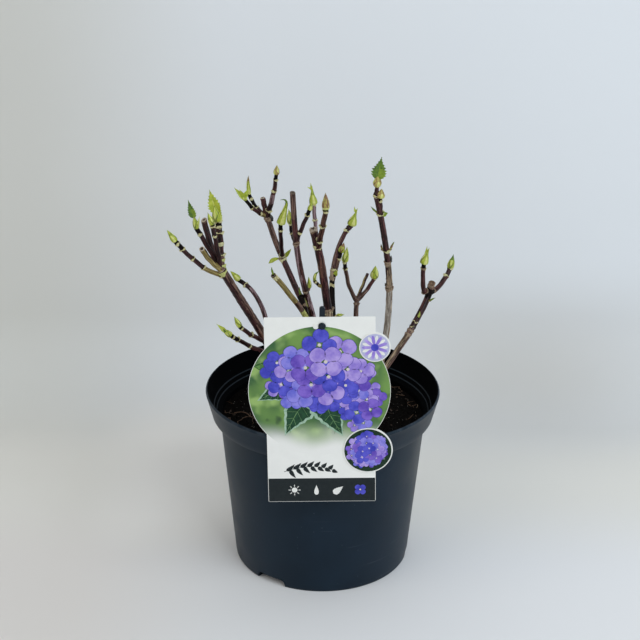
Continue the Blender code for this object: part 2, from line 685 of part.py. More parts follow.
def swollen_copy(limb, spec):
    """A limb's solid grown by the gap all round, to trim what leaves its side."""
    cutter = limb_piece(limb, 0.0, spec["ends"], CANE_SIDES, "side_cutter", bpy.data.materials["wood"], grow_by=GAP)
    cutter.hide_render = True
    return cutter


def make_cane(name, limbs, material):
    spec = CANES[name]
    limb = limbs[name]
    cane = limb_piece(limb, 0.0, spec["ends"], CANE_SIDES, name, material)
    if "foot" in spec:
        level_foot(cane)
    else:
        cut(cane, swollen_copy(limbs[spec["parent"]], CANES[spec["parent"]]))
    return cane


def level_foot(cane):
    """Brings the lowest ring of a cane down flat onto the compost."""
    lowest = sorted(cane.data.vertices, key=lambda vertex: vertex.co.z)[:CANE_SIDES]
    for vertex in lowest:
        vertex.co.z = SOIL_TOP + GAP


def shoot_pieces(limb, spec, name, material):
    pieces = [limb_piece(limb, 0.0, 1.0, TWIG_SIDES, name, material)]
    if spec["bud"]:
        pieces += bud_pieces(limb, spec["bud"], name, material)
    return pieces


def make_head(name, limbs, material):
    """The last of a cane with its shoots, joined: it begins one gap past the cane's end."""
    cane_name, shoots = HEADS[name]
    cane = limbs[cane_name]
    start = CANES[cane_name]["ends"] + GAP / cane.length
    pieces = [limb_piece(cane, start, 1.0, CANE_SIDES, name, material)]
    for k, spec in enumerate(shoots):
        limb = Limb(cane.place(spec["at"]), spec)
        pieces += shoot_pieces(limb, spec, f"{name}_{k}", material)
    return fuse(pieces, name)


def make_side_shoot(name, limbs, material):
    spec = SIDE_SHOOTS[name]
    limb = Limb(limbs[spec["parent"]].place(spec["at"]), spec)
    shoot = fuse(shoot_pieces(limb, spec, name, material), name)
    cut(shoot, swollen_copy(limbs[spec["parent"]], CANES[spec["parent"]]))
    return shoot


def main():
    clear_scene()
    pot_plastic = make_material("pot plastic", (0.012, 0.014, 0.017), 0.42)
    compost = make_material("compost", (0.016, 0.011, 0.008), 0.95)
    card = make_material("label card", (0.78, 0.78, 0.78), 0.35)
    stake_plastic = make_material("stake plastic", (0.010, 0.011, 0.013), 0.45)
    wood = make_material("wood", (0.075, 0.035, 0.032), 0.55)
    shoots = make_material("shoots", (0.20, 0.26, 0.05), 0.55)

    make_pot(pot_plastic)
    make_soil(compost)
    make_card(card)
    make_stake(stake_plastic)
    limbs = grow_canes()
    for name in CANES:
        make_cane(name, limbs, wood)
    for name in HEADS:
        make_head(name, limbs, shoots)
    for name in SIDE_SHOOTS:
        make_side_shoot(name, limbs, shoots)


main()
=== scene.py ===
# A young hydrangea in a black nursery pot, cut back and coming into leaf, with its label on a stake.
# Metres, +Z up. A heading is (bearing, lean) in degrees: bearing 0 is +X, 90 is +Y, lean is from upright.
import json
import math

import bmesh
import bpy
import numpy as np
from mathutils import Matrix, Vector

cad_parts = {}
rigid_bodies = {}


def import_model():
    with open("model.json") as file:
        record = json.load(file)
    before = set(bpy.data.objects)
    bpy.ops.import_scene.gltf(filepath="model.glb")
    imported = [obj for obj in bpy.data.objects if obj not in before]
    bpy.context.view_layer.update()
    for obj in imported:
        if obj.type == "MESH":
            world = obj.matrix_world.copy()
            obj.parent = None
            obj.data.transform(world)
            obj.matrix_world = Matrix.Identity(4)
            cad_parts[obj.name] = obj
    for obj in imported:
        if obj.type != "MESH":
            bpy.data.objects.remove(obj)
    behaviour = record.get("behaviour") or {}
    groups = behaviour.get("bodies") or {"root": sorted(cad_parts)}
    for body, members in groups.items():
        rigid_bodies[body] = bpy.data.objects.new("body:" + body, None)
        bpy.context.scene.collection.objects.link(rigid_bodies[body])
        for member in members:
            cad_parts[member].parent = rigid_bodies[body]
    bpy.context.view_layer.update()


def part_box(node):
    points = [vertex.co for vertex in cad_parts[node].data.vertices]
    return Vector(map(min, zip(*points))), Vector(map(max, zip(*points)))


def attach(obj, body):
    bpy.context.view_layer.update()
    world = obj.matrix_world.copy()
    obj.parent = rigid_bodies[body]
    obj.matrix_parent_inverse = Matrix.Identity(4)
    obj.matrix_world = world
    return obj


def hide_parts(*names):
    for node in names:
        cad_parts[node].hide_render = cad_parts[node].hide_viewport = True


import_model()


# node trees: a value that is a socket is linked, any other is set on the socket

def setInputs(tree, node, values):
    for name, value in values.items():
        socket = node.inputs[name]
        if isinstance(value, bpy.types.NodeSocket):
            tree.links.new(value, socket)
        else:
            socket.default_value = value


def addNode(tree, kind, inputs=None, **settings):
    node = tree.nodes.new(kind)
    for name, value in settings.items():
        setattr(node, name, value)
    setInputs(tree, node, inputs or {})
    return node


def addMath(tree, operation, first, second=0.0):
    return addNode(tree, "ShaderNodeMath", {0: first, 1: second}, operation=operation).outputs[0]


def addRange(tree, value, low, high, toLow=0.0, toHigh=1.0):
    values = {"Value": value, "From Min": low, "From Max": high, "To Min": toLow, "To Max": toHigh}
    return addNode(tree, "ShaderNodeMapRange", values, interpolation_type="SMOOTHSTEP").outputs[0]


def addNoise(tree, where, scale, detail=3.0, roughness=0.5):
    values = {"Vector": where, "Scale": scale, "Detail": detail, "Roughness": roughness}
    return addNode(tree, "ShaderNodeTexNoise", values).outputs["Fac"]


def mixColours(tree, factor, first, second):
    return addNode(tree, "ShaderNodeMix", {0: factor, 6: first, 7: second}, data_type="RGBA").outputs[2]


def mixValues(tree, factor, first, second):
    return addNode(tree, "ShaderNodeMix", {0: factor, 2: first, 3: second}, data_type="FLOAT").outputs[0]


def axes(tree, vector):
    return addNode(tree, "ShaderNodeSeparateXYZ", {0: vector}).outputs


def newTree(name, kind, inputs, outputs, outputKind="NodeSocketFloat"):
    # an input is given as its default value, or as the kind of a socket that has none
    tree = bpy.data.node_groups.new(name, kind)
    for label, value in inputs.items():
        socketKind = value if isinstance(value, str) else {float: "Float", int: "Int"}[type(value)]
        socket = tree.interface.new_socket(label, in_out="INPUT", socket_type="NodeSocket" + socketKind)
        if not isinstance(value, str):
            socket.default_value = value
    for label in outputs:
        tree.interface.new_socket(label, in_out="OUTPUT", socket_type=outputKind)
    return tree, tree.nodes.new("NodeGroupInput").outputs, tree.nodes.new("NodeGroupOutput")


def placeGroup(tree, group, values):
    return addNode(tree, "ShaderNodeGroup", values, node_tree=group).outputs


def makeMottleGroup():
    # broad and fine unevenness of a surface, as one mask
    inputs = {"Place": "Vector", "Broad": 30.0, "Fine": 300.0, "Share of fine": 0.4}
    tree, source, result = newTree("mottle", "ShaderNodeTree", inputs, ("Mask", "Grain"))
    broad = addRange(tree, addNoise(tree, source["Place"], source["Broad"], 3.0), 0.3, 0.7)
    fine = addNoise(tree, source["Place"], source["Fine"], 2.0, 0.6)
    mask = mixValues(tree, source["Share of fine"], broad, fine)
    setInputs(tree, result, {"Mask": mask, "Grain": fine})
    return tree


def makeSpeckGroup():
    # small scattered marks, such as dust, pores and water spots
    inputs = {"Place": "Vector", "Scale": 200.0, "Size": 0.12, "Amount": 0.3}
    tree, source, result = newTree("specks", "ShaderNodeTree", inputs, ("Mask",))
    cells = addNode(tree, "ShaderNodeTexVoronoi", {"Vector": source["Place"], "Scale": source["Scale"]})
    edge = addMath(tree, "MULTIPLY", source["Size"], 1.6)
    spot = addRange(tree, cells.outputs["Distance"], source["Size"], edge, 1.0, 0.0)
    parts = addNode(tree, "ShaderNodeSeparateColor", {"Color": cells.outputs["Color"]})
    chosen = addMath(tree, "LESS_THAN", parts.outputs["Red"], source["Amount"])
    setInputs(tree, result, {"Mask": addMath(tree, "MULTIPLY", spot, chosen)})
    return tree


def makeGrowthGroup():
    # streaks along a stem and pores on its skin, from the stem's own (around, along) map
    inputs = {"Growth": "Vector", "Streaks": 2.4, "Stretch": 0.35, "Pores": 0.3}
    outputs = ("Streak", "Patch", "Pore", "Height")
    tree, source, result = newTree("growth streaks", "ShaderNodeTree", inputs, outputs)
    parts = axes(tree, source["Growth"])
    turn = addMath(tree, "MULTIPLY", parts["X"], 2 * math.pi)
    flatX = addMath(tree, "COSINE", turn)
    flatY = addMath(tree, "SINE", turn)
    along = addMath(tree, "MULTIPLY", parts["Y"], source["Stretch"])
    lengthwise = addNode(tree, "ShaderNodeCombineXYZ", {"X": flatX, "Y": flatY, "Z": along}).outputs[0]
    even = addNode(tree, "ShaderNodeCombineXYZ", {"X": flatX, "Y": flatY, "Z": parts["Y"]}).outputs[0]
    streak = addNoise(tree, lengthwise, source["Streaks"], 4.0, 0.6)
    patch = addNoise(tree, even, 0.9, 2.0)
    cells = addNode(tree, "ShaderNodeTexVoronoi", {"Vector": even, "Scale": 3.2})
    names = addNode(tree, "ShaderNodeSeparateColor", {"Color": cells.outputs["Color"]}).outputs
    chosen = addMath(tree, "LESS_THAN", names["Red"], source["Pores"])
    near = addRange(tree, cells.outputs["Distance"], 0.12, 0.26, 1.0, 0.0)
    pore = addMath(tree, "MULTIPLY", near, chosen)
    height = addMath(tree, "ADD", streak, addMath(tree, "MULTIPLY", pore, 0.5))
    streak = addRange(tree, streak, 0.42, 0.62)
    patch = addRange(tree, patch, 0.38, 0.62)
    setInputs(tree, result, {"Streak": streak, "Patch": patch, "Pore": pore, "Height": height})
    return tree


def makeScratchGroup():
    # long faint rubbed lines on plastic
    inputs = {"Place": "Vector", "Amount": 0.4}
    tree, source, result = newTree("rub marks", "ShaderNodeTree", inputs, ("Mask",))
    turning = {"Vector": source["Place"], "Rotation": (0.3, 0.9, 0.4), "Scale": (9.0, 9.0, 260.0)}
    turned = addNode(tree, "ShaderNodeMapping", turning).outputs[0]
    lines = addNoise(tree, turned, 1.0, 2.0, 0.7)
    thin = addRange(tree, lines, 0.66, 0.72)
    where = addRange(tree, addNoise(tree, source["Place"], 18.0, 1.0), 0.52, 0.62)
    marked = addMath(tree, "MULTIPLY", addMath(tree, "MULTIPLY", thin, where), source["Amount"])
    setInputs(tree, result, {"Mask": marked})
    return tree


mottleGroup = makeMottleGroup()
speckGroup = makeSpeckGroup()
growthGroup = makeGrowthGroup()
scratchGroup = makeScratchGroup()


# materials

def newMaterial(name):
    material = bpy.data.materials.new(name)
    material.use_nodes = True
    tree = material.node_tree
    shader = tree.nodes["Principled BSDF"]
    place = tree.nodes.new("ShaderNodeTexCoord").outputs["Object"]
    return material, tree, shader, place


def opaque(colour):
    return (*colour, 1.0)


def addBump(tree, shader, height, strength, distance):
    bump = addNode(tree, "ShaderNodeBump", {"Height": height, "Strength": strength, "Distance": distance})
    setInputs(tree, shader, {"Normal": bump.outputs["Normal"]})


def makeBark(name, dark, light, streaks=2.4, stretch=0.35, pores=0.2, poreColour=None, roughness=0.42,
             bump=0.5, shine=0.2):
    material, tree, shader = newMaterial(name)[:3]
    growth = addNode(tree, "ShaderNodeUVMap", uv_map="growth").outputs[0]
    values = {"Growth": growth, "Streaks": streaks, "Stretch": stretch, "Pores": pores}
    marks = placeGroup(tree, growthGroup, values)
    colour = mixColours(tree, marks["Streak"], opaque(dark), opaque(light))
    middle = [(a * 2 + b) / 3 for a, b in zip(dark, light)]
    colour = mixColours(tree, addMath(tree, "MULTIPLY", marks["Patch"], 0.22), colour, opaque(middle))
    if poreColour:
        colour = mixColours(tree, addMath(tree, "MULTIPLY", marks["Pore"], 0.7), colour, opaque(poreColour))
    rough = addRange(tree, marks["Streak"], 0.0, 1.0, roughness - 0.06, roughness + 0.1)
    setInputs(tree, shader, {"Base Color": colour, "Roughness": rough, "Specular IOR Level": shine})
    addBump(tree, shader, marks["Height"], bump, 0.0004)
    return material


def makeMottled(name, base, other, scale, grain, fineShare, roughness, shine, bump=0.0, distance=0.0002):
    # two near colours in soft patches with a fine grain over them
    material, tree, shader, place = newMaterial(name)
    values = {"Place": place, "Broad": scale, "Fine": scale * grain, "Share of fine": fineShare}
    mask = placeGroup(tree, mottleGroup, values)
    colour = mixColours(tree, mask["Mask"], opaque(base), opaque(other))
    rough = addRange(tree, mask["Grain"], 0.2, 0.8, roughness - 0.06, roughness + 0.06)
    setInputs(tree, shader, {"Base Color": colour, "Roughness": rough, "Specular IOR Level": shine})
    if bump:
        addBump(tree, shader, mask["Grain"], bump, distance)
    return material


def makeLeafy(name, base, other):
    # leaf and bud skins, with a little light passing through
    material = makeMottled(name, base, other, 420.0, 4, 0.35, 0.43, 0.5, 0.35)
    tree = material.node_tree
    setInputs(tree, tree.nodes["Principled BSDF"], {
        "Subsurface Weight": 0.12, "Subsurface Radius": (0.5, 1.0, 0.2), "Subsurface Scale": 0.0012})
    return material


def makeGritty(name, base, other, scale, roughness=0.9, bump=0.8, distance=0.0006, shine=0.5):
    return makeMottled(name, base, other, scale, 5, 0.5, roughness - 0.05, shine, bump, distance)


barks = {
    "dark": makeBark("young bark, purple black", (0.0062, 0.0021, 0.0023), (0.062, 0.0205, 0.0210),
                     pores=0.12, poreColour=(0.22, 0.15, 0.10), roughness=0.36),
    "maroon": makeBark("young bark, maroon", (0.0110, 0.0032, 0.0034), (0.112, 0.036, 0.034), pores=0.15,
                       poreColour=(0.26, 0.17, 0.12), roughness=0.38),
    "red": makeBark("young bark, red brown", (0.026, 0.0090, 0.0065), (0.160, 0.070, 0.050), pores=0.18,
                    poreColour=(0.30, 0.21, 0.14), roughness=0.40),
    # lilac bark, also the tone of painted highlights on one side of some canes
    "lilac": makeBark("bloomed bark, lilac, also painted highlight", (0.062, 0.028, 0.032), (0.330, 0.220, 0.235), pores=0.1,
                      poreColour=(0.10, 0.05, 0.05)),
    "brown": makeBark("bark, grey brown", (0.030, 0.0125, 0.0095), (0.200, 0.114, 0.086), pores=0.22,
                      poreColour=(0.02, 0.014, 0.012)),
    "tan": makeBark("old bark, tan", (0.055, 0.031, 0.020), (0.430, 0.315, 0.205), streaks=2.6, pores=0.5,
                    poreColour=(0.04, 0.022, 0.015), roughness=0.6, bump=0.9),
    "grey": makeBark("old bark, pale grey", (0.185, 0.150, 0.122), (0.500, 0.445, 0.385), streaks=2.0,
                     pores=0.25, poreColour=(0.12, 0.08, 0.05), roughness=0.65, bump=0.8),
    "olive": makeBark("bark, olive", (0.140, 0.100, 0.028), (0.360, 0.275, 0.105), pores=0.25,
                      poreColour=(0.06, 0.035, 0.02)),
    "node": makeBark("leaf scar, pale", (0.360, 0.290, 0.120), (0.740, 0.690, 0.400), streaks=3.5,
                     stretch=2.0, pores=0.3, poreColour=(0.20, 0.11, 0.06), roughness=0.5),
    "lime": makeBark("swollen node, lime", (0.240, 0.240, 0.050), (0.600, 0.590, 0.210), streaks=3.0,
                     stretch=2.0, pores=0.2, poreColour=(0.18, 0.09, 0.04), roughness=0.45),
    "rust": makeBark("leaf scar, brown", (0.090, 0.048, 0.030), (0.330, 0.220, 0.140), streaks=3.5,
                     stretch=2.0, roughness=0.55),
    # black bark, also the tone of the painted shade band above pale leaf scars
    "black": makeBark("dead sheath, black", (0.0016, 0.0010, 0.0010), (0.0130, 0.0075, 0.0070), pores=0.0,
                      roughness=0.55, shine=0.07),
    "cut": makeGritty("cut wood", (0.360, 0.270, 0.190), (0.640, 0.540, 0.430), 900.0, 0.75),
    "pith": makeGritty("pith", (0.060, 0.040, 0.028), (0.160, 0.110, 0.075), 900.0, 0.85),
    "hollow": makeGritty("hollow pith, painted shade", (0.003, 0.002, 0.002), (0.010, 0.007, 0.006), 900.0, 0.9),
}
greens = {
    "green": makeLeafy("bud scale, lime green", (0.270, 0.350, 0.018), (0.500, 0.560, 0.055)),
    "light": makeLeafy("bud scale, pale", (0.500, 0.540, 0.110), (0.740, 0.750, 0.280)),
    "rim": makeLeafy("bud scale edge", (0.110, 0.150, 0.012), (0.230, 0.260, 0.030)),
    "brown": makeLeafy("bud scale, brown", (0.120, 0.050, 0.022), (0.330, 0.180, 0.070)),
    "ochre": makeLeafy("bud scale, ochre", (0.300, 0.230, 0.040), (0.500, 0.430, 0.110)),
    "leaf": makeLeafy("young leaf", (0.270, 0.330, 0.015), (0.490, 0.530, 0.050)),
    "deep": makeLeafy("opened leaf", (0.040, 0.095, 0.004), (0.130, 0.220, 0.012)),
    "fresh": makeLeafy("opened leaf, lighter", (0.120, 0.200, 0.008), (0.260, 0.350, 0.024)),
    "rib": makeLeafy("leaf rib", (0.400, 0.460, 0.085), (0.560, 0.620, 0.180)),
    "tip": makeLeafy("dried tip", (0.012, 0.012, 0.010), (0.060, 0.050, 0.035)),
}


# meshes built from arrays of points

def newPiece(name, materials):
    return {"name": name, "materials": materials, "tones": {key: k for k, key in enumerate(materials)},
            "points": [], "faces": [], "finish": [], "uvs": [], "count": 0}


def toneNumbers(piece, tone, count):
    if isinstance(tone, str):
        return np.full(count, piece["tones"][tone])
    return np.asarray(tone, int).ravel()


def addFaces(piece, points, faces, tone, uvs=None):
    # faces: rows of three or four point numbers; tone: a tone's name, or its number for each face
    faces = np.asarray(faces, int)
    piece["points"].append(np.asarray(points, float).reshape(-1, 3))
    piece["faces"].append(faces + piece["count"])
    piece["finish"].append(toneNumbers(piece, tone, len(faces)))
    piece["uvs"].append(np.zeros((*faces.shape, 2)) if uvs is None else np.asarray(uvs, float))
    piece["count"] += len(piece["points"][-1])


def buildPiece(piece, smoothAngle=45.0, outward=True):
    mesh = bpy.data.meshes.new(piece["name"])
    points = np.concatenate(piece["points"])
    corners = np.concatenate([f.ravel() for f in piece["faces"]])
    sizes = np.concatenate([np.full(len(f), f.shape[1]) for f in piece["faces"]])
    starts = np.concatenate([[0], np.cumsum(sizes)[:-1]])
    mesh.vertices.add(len(points))
    mesh.vertices.foreach_set("co", points.astype(np.float32).ravel())
    mesh.loops.add(len(corners))
    mesh.loops.foreach_set("vertex_index", corners.astype(np.int32))
    mesh.polygons.add(len(sizes))
    mesh.polygons.foreach_set("loop_start", starts.astype(np.int32))
    mesh.polygons.foreach_set("material_index", np.concatenate(piece["finish"]).astype(np.int32))
    uvLayer = mesh.uv_layers.new(name="growth")
    uvLayer.data.foreach_set("uv", np.concatenate([u.ravel() for u in piece["uvs"]]).astype(np.float32))
    mesh.update(calc_edges=True)
    mesh.validate()
    if outward:
        work = bmesh.new()
        work.from_mesh(mesh)
        bmesh.ops.recalc_face_normals(work, faces=work.faces)
        work.to_mesh(mesh)
        work.free()
    for material in piece["materials"].values():
        mesh.materials.append(material)
    mesh.shade_smooth()
    mesh.set_sharp_from_angle(angle=math.radians(smoothAngle))
    obj = bpy.data.objects.new(piece["name"], mesh)
    bpy.context.scene.collection.objects.link(obj)
    return obj


def dropObjects(*objs):
    for obj in objs:
        bpy.data.objects.remove(obj, do_unlink=True)


def meshObject(name, mesh):
    obj = bpy.data.objects.new(name, mesh)
    bpy.context.scene.collection.objects.link(obj)
    return obj


def applyBoolean(obj, other, operation, solver):
    boolean = obj.modifiers.new(operation, "BOOLEAN")
    boolean.operation = operation
    boolean.object = other
    boolean.solver = solver
    graph = bpy.context.evaluated_depsgraph_get()
    mesh = bpy.data.meshes.new_from_object(obj.evaluated_get(graph))
    obj.modifiers.remove(boolean)
    obj.data = mesh
    dropObjects(other)


def rideRoot(obj, slotName, *nodes):
    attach(obj, "root")
    if nodes:
        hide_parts(*nodes)
    return obj


def fullTurn(count):
    return np.linspace(0, 2 * math.pi, count, endpoint=False)


def gridFaces(rows, columns, around):
    # point numbers of the faces of a grid of points, which may close on itself sideways
    across = columns if around else columns - 1
    row, column = np.meshgrid(np.arange(rows - 1), np.arange(across), indexing="ij")
    after = (column + 1) % columns
    first, second = row * columns, (row + 1) * columns
    return np.stack([first + column, first + after, second + after, second + column], -1).reshape(-1, 4)


def addTube(piece, rings, tones, growthFrom=0.0, steps=None):
    # rings of points, closed at both ends by a fan; tones: one number for each face
    rows, columns = rings.shape[:2]
    faces = gridFaces(rows, columns, True)
    along = np.zeros(rows) if steps is None else steps
    row, column = np.meshgrid(np.arange(rows - 1), np.arange(columns), indexing="ij")
    u0, u1 = column / columns, (column + 1) / columns
    v0, v1 = along[row] + growthFrom, along[row + 1] + growthFrom
    corners = ((u0, v0), (u1, v0), (u1, v1), (u0, v1))
    uvs = np.stack([np.stack(corner, -1) for corner in corners], 2)
    addFaces(piece, rings, faces, tones, uvs.reshape(-1, 4, 2))
    tones = np.asarray(tones).reshape(rows - 1, columns)
    turn = np.arange(columns)
    for ring, row in ((rings[0], tones[0]), (rings[-1], tones[-1])):
        fan = np.stack([turn, (turn + 1) % columns, np.full(columns, columns)], -1)
        addFaces(piece, np.vstack([ring, ring.mean(0)]), fan, row)


def gridNormals(points):
    along = np.gradient(points, axis=0)
    sideways = np.gradient(points, axis=1)
    normals = np.cross(sideways, along)
    sizes = np.linalg.norm(normals, axis=2, keepdims=True)
    return normals / np.maximum(sizes, 1e-12)


def addSheet(piece, points, thickness, tones):
    # a grid of points made into a closed thin sheet; tones: a name, or a number for each face of the grid
    rows, columns = points.shape[:2]
    normals = gridNormals(points)
    half = np.asarray(thickness) / 2
    half = half[..., None] if half.ndim else half
    top, under = points + normals * half, points - normals * half
    faces = gridFaces(rows, columns, False)
    count = rows * columns
    numbers = toneNumbers(piece, tones, len(faces))
    index = np.arange(count).reshape(rows, columns)
    edge = np.concatenate([index[0, :-1], index[:-1, -1], index[-1, :0:-1], index[:0:-1, 0]])
    after = np.roll(edge, -1)
    rim = np.stack([edge, after, after + count, edge + count], -1)
    rimTones = np.full(len(rim), numbers[0])
    addFaces(piece, np.concatenate([top.reshape(-1, 3), under.reshape(-1, 3)]),
             np.concatenate([faces, faces[:, ::-1] + count, rim]),
             np.concatenate([numbers, numbers, rimTones]))


# the growth rule: the limbs' centre lines, in the frame's own place

growth = dict(steps=48, soilTop=0.150, gap=0.0003, budSink=0.0012)

# a cane or bough: "bark" is its tones from the share where each begins; the other tones lie on one side of
# it, mostly painted highlight and painted shade by the way that side faces
canes = {
    "cane_far_left": dict(
        foot=(-0.016, 0.000), length=0.185, headings=((205, 25), (205, 30)), radii=(0.0046, 0.0039),
        scars=(0.18, 0.45), ends=0.92, scarTone="rust", bark=("maroon", (0.45, "red"), (0.60, "dark")),
        sideLightAndShade=((0.25, 1.0, (345, 55), 72, "brown"),), collars=((0.985, "lime", 0.98),)),
    "cane_front": dict(
        foot=(0.001, -0.008), length=0.257, headings=((90, 5), (240, 25), (265, 10)),
        radii=(0.0034, 0.0025), scars=(0.22, 0.80), ends=0.77, scarTone="rust", cut="dark",
        bark=("dark", (0.58, "maroon"), (0.90, "brown")),
        collars=((0.572, "rust", 0.86), (0.79, "rust", 0.98)),
        sideLightAndShade=((0.0, 0.56, (300, 70), 45, "lilac"), (0.50, 0.566, (205, 60), 52, "lime"),
                (0.58, 0.79, (225, 70), 56, "lilac"))),
    "cane_middle": dict(
        foot=(0.010, 0.001), length=0.190, headings=((180, 0), (180, 5), (160, 15)), radii=(0.0042, 0.0037),
        scars=(0.34, 0.57), ends=0.67, scarTone="rust", cut="ragged",
        bark=("tan", (0.575, "dark"), (0.685, "maroon"), (0.75, "red"), (0.84, "maroon"), (0.893, "node"),
              (0.899, "dark"), (0.982, "rust"), (0.99, "cut")),
        slant=(100, 10), collars=((0.565, "node", 0.92), (0.91, "node", 0.86))),
    "cane_back_right": dict(
        foot=(0.014, 0.011), length=0.178, headings=((100, 10), (100, 20), (95, 25), (35, 40)),
        radii=(0.0034, 0.0022), scars=(0.25, 0.755, 0.985), ends=0.67,
        bark=("black", (0.665, "node"), (0.683, "black"), (0.70, "tan"), (0.765, "maroon"), (0.985, "dark")),
        collars=((0.715, "rust", 0.95),), sideLightAndShade=((0.765, 0.96, (210, 70), 40, "brown"),)),
    "cane_short": dict(
        foot=(0.030, 0.013), length=0.105, headings=((85, 10), (85, 20)), radii=(0.0028, 0.0023),
        scars=(0.40, 0.97), ends=0.93, scarTone="rust", bark=("tan", (0.5, "brown"))),
    "cane_tall_right": dict(
        foot=(0.047, -0.010), length=0.255, headings=((310, 10), (300, 15), (250, 15), (230, 20)),
        radii=(0.0032, 0.0026), scars=(0.18, 0.765, 0.925), ends=0.735,
        bark=("tan", (0.28, "grey"), (0.595, "tan"), (0.712, "maroon")),
        sideLightAndShade=((0.25, 0.59, (350, 80), 44, "tan"), (0.60, 0.70, (215, 70), 34, "dark"),
                (0.72, 0.92, (205, 80), 52, "dark")),
        collars=((0.598, "rust", 1.06), (0.613, "rust", 0.90), (0.640, "rust", 0.80), (0.705, "rust", 0.86),
                 (0.718, "rust", 0.98))),
    "bough_back_left": dict(
        parent="cane_middle", at=0.35, length=0.145, headings=((135, 50), (130, 30)),
        radii=(0.0032, 0.0027), scars=(0.35, 0.70, 0.97), ends=0.67, scarTone="rust",
        bark=("black", (0.42, "maroon"), (0.76, "brown")),
        collars=((0.69, "node", 0.98), (0.985, "rust", 1.0))),
    "bough_far_right": dict(
        parent="cane_tall_right", at=0.18, length=0.104, headings=((55, 65), (50, 55), (50, 35)),
        radii=(0.0028, 0.0031), ends=0.52,
        bark=("tan", (0.54, "brown"), (0.622, "node"), (0.630, "dark"), (0.676, "node"), (0.685, "dark"),
              (0.94, "black")),
        collars=((0.545, "rust", 0.88), (0.59, "rust", 0.90), (0.63, "black", 0.84)),
        sideLightAndShade=((0.0, 0.60, (320, 115), 66, "brown"), (0.69, 0.93, (200, 60), 40, "maroon"))),
    "stub_olive": dict(
        parent="cane_front", at=0.35, length=0.100, headings=((240, 35), (220, 40)), radii=(0.0026, 0.0025),
        ends=1.0, cut="dark", slant=(40, 0),
        bark=("lime", (0.43, "brown"), (0.57, "olive"), (0.945, "node"), (0.992, "black")),
        sideLightAndShade=((0.50, 0.80, (60, 50), 62, "brown"),)),
}

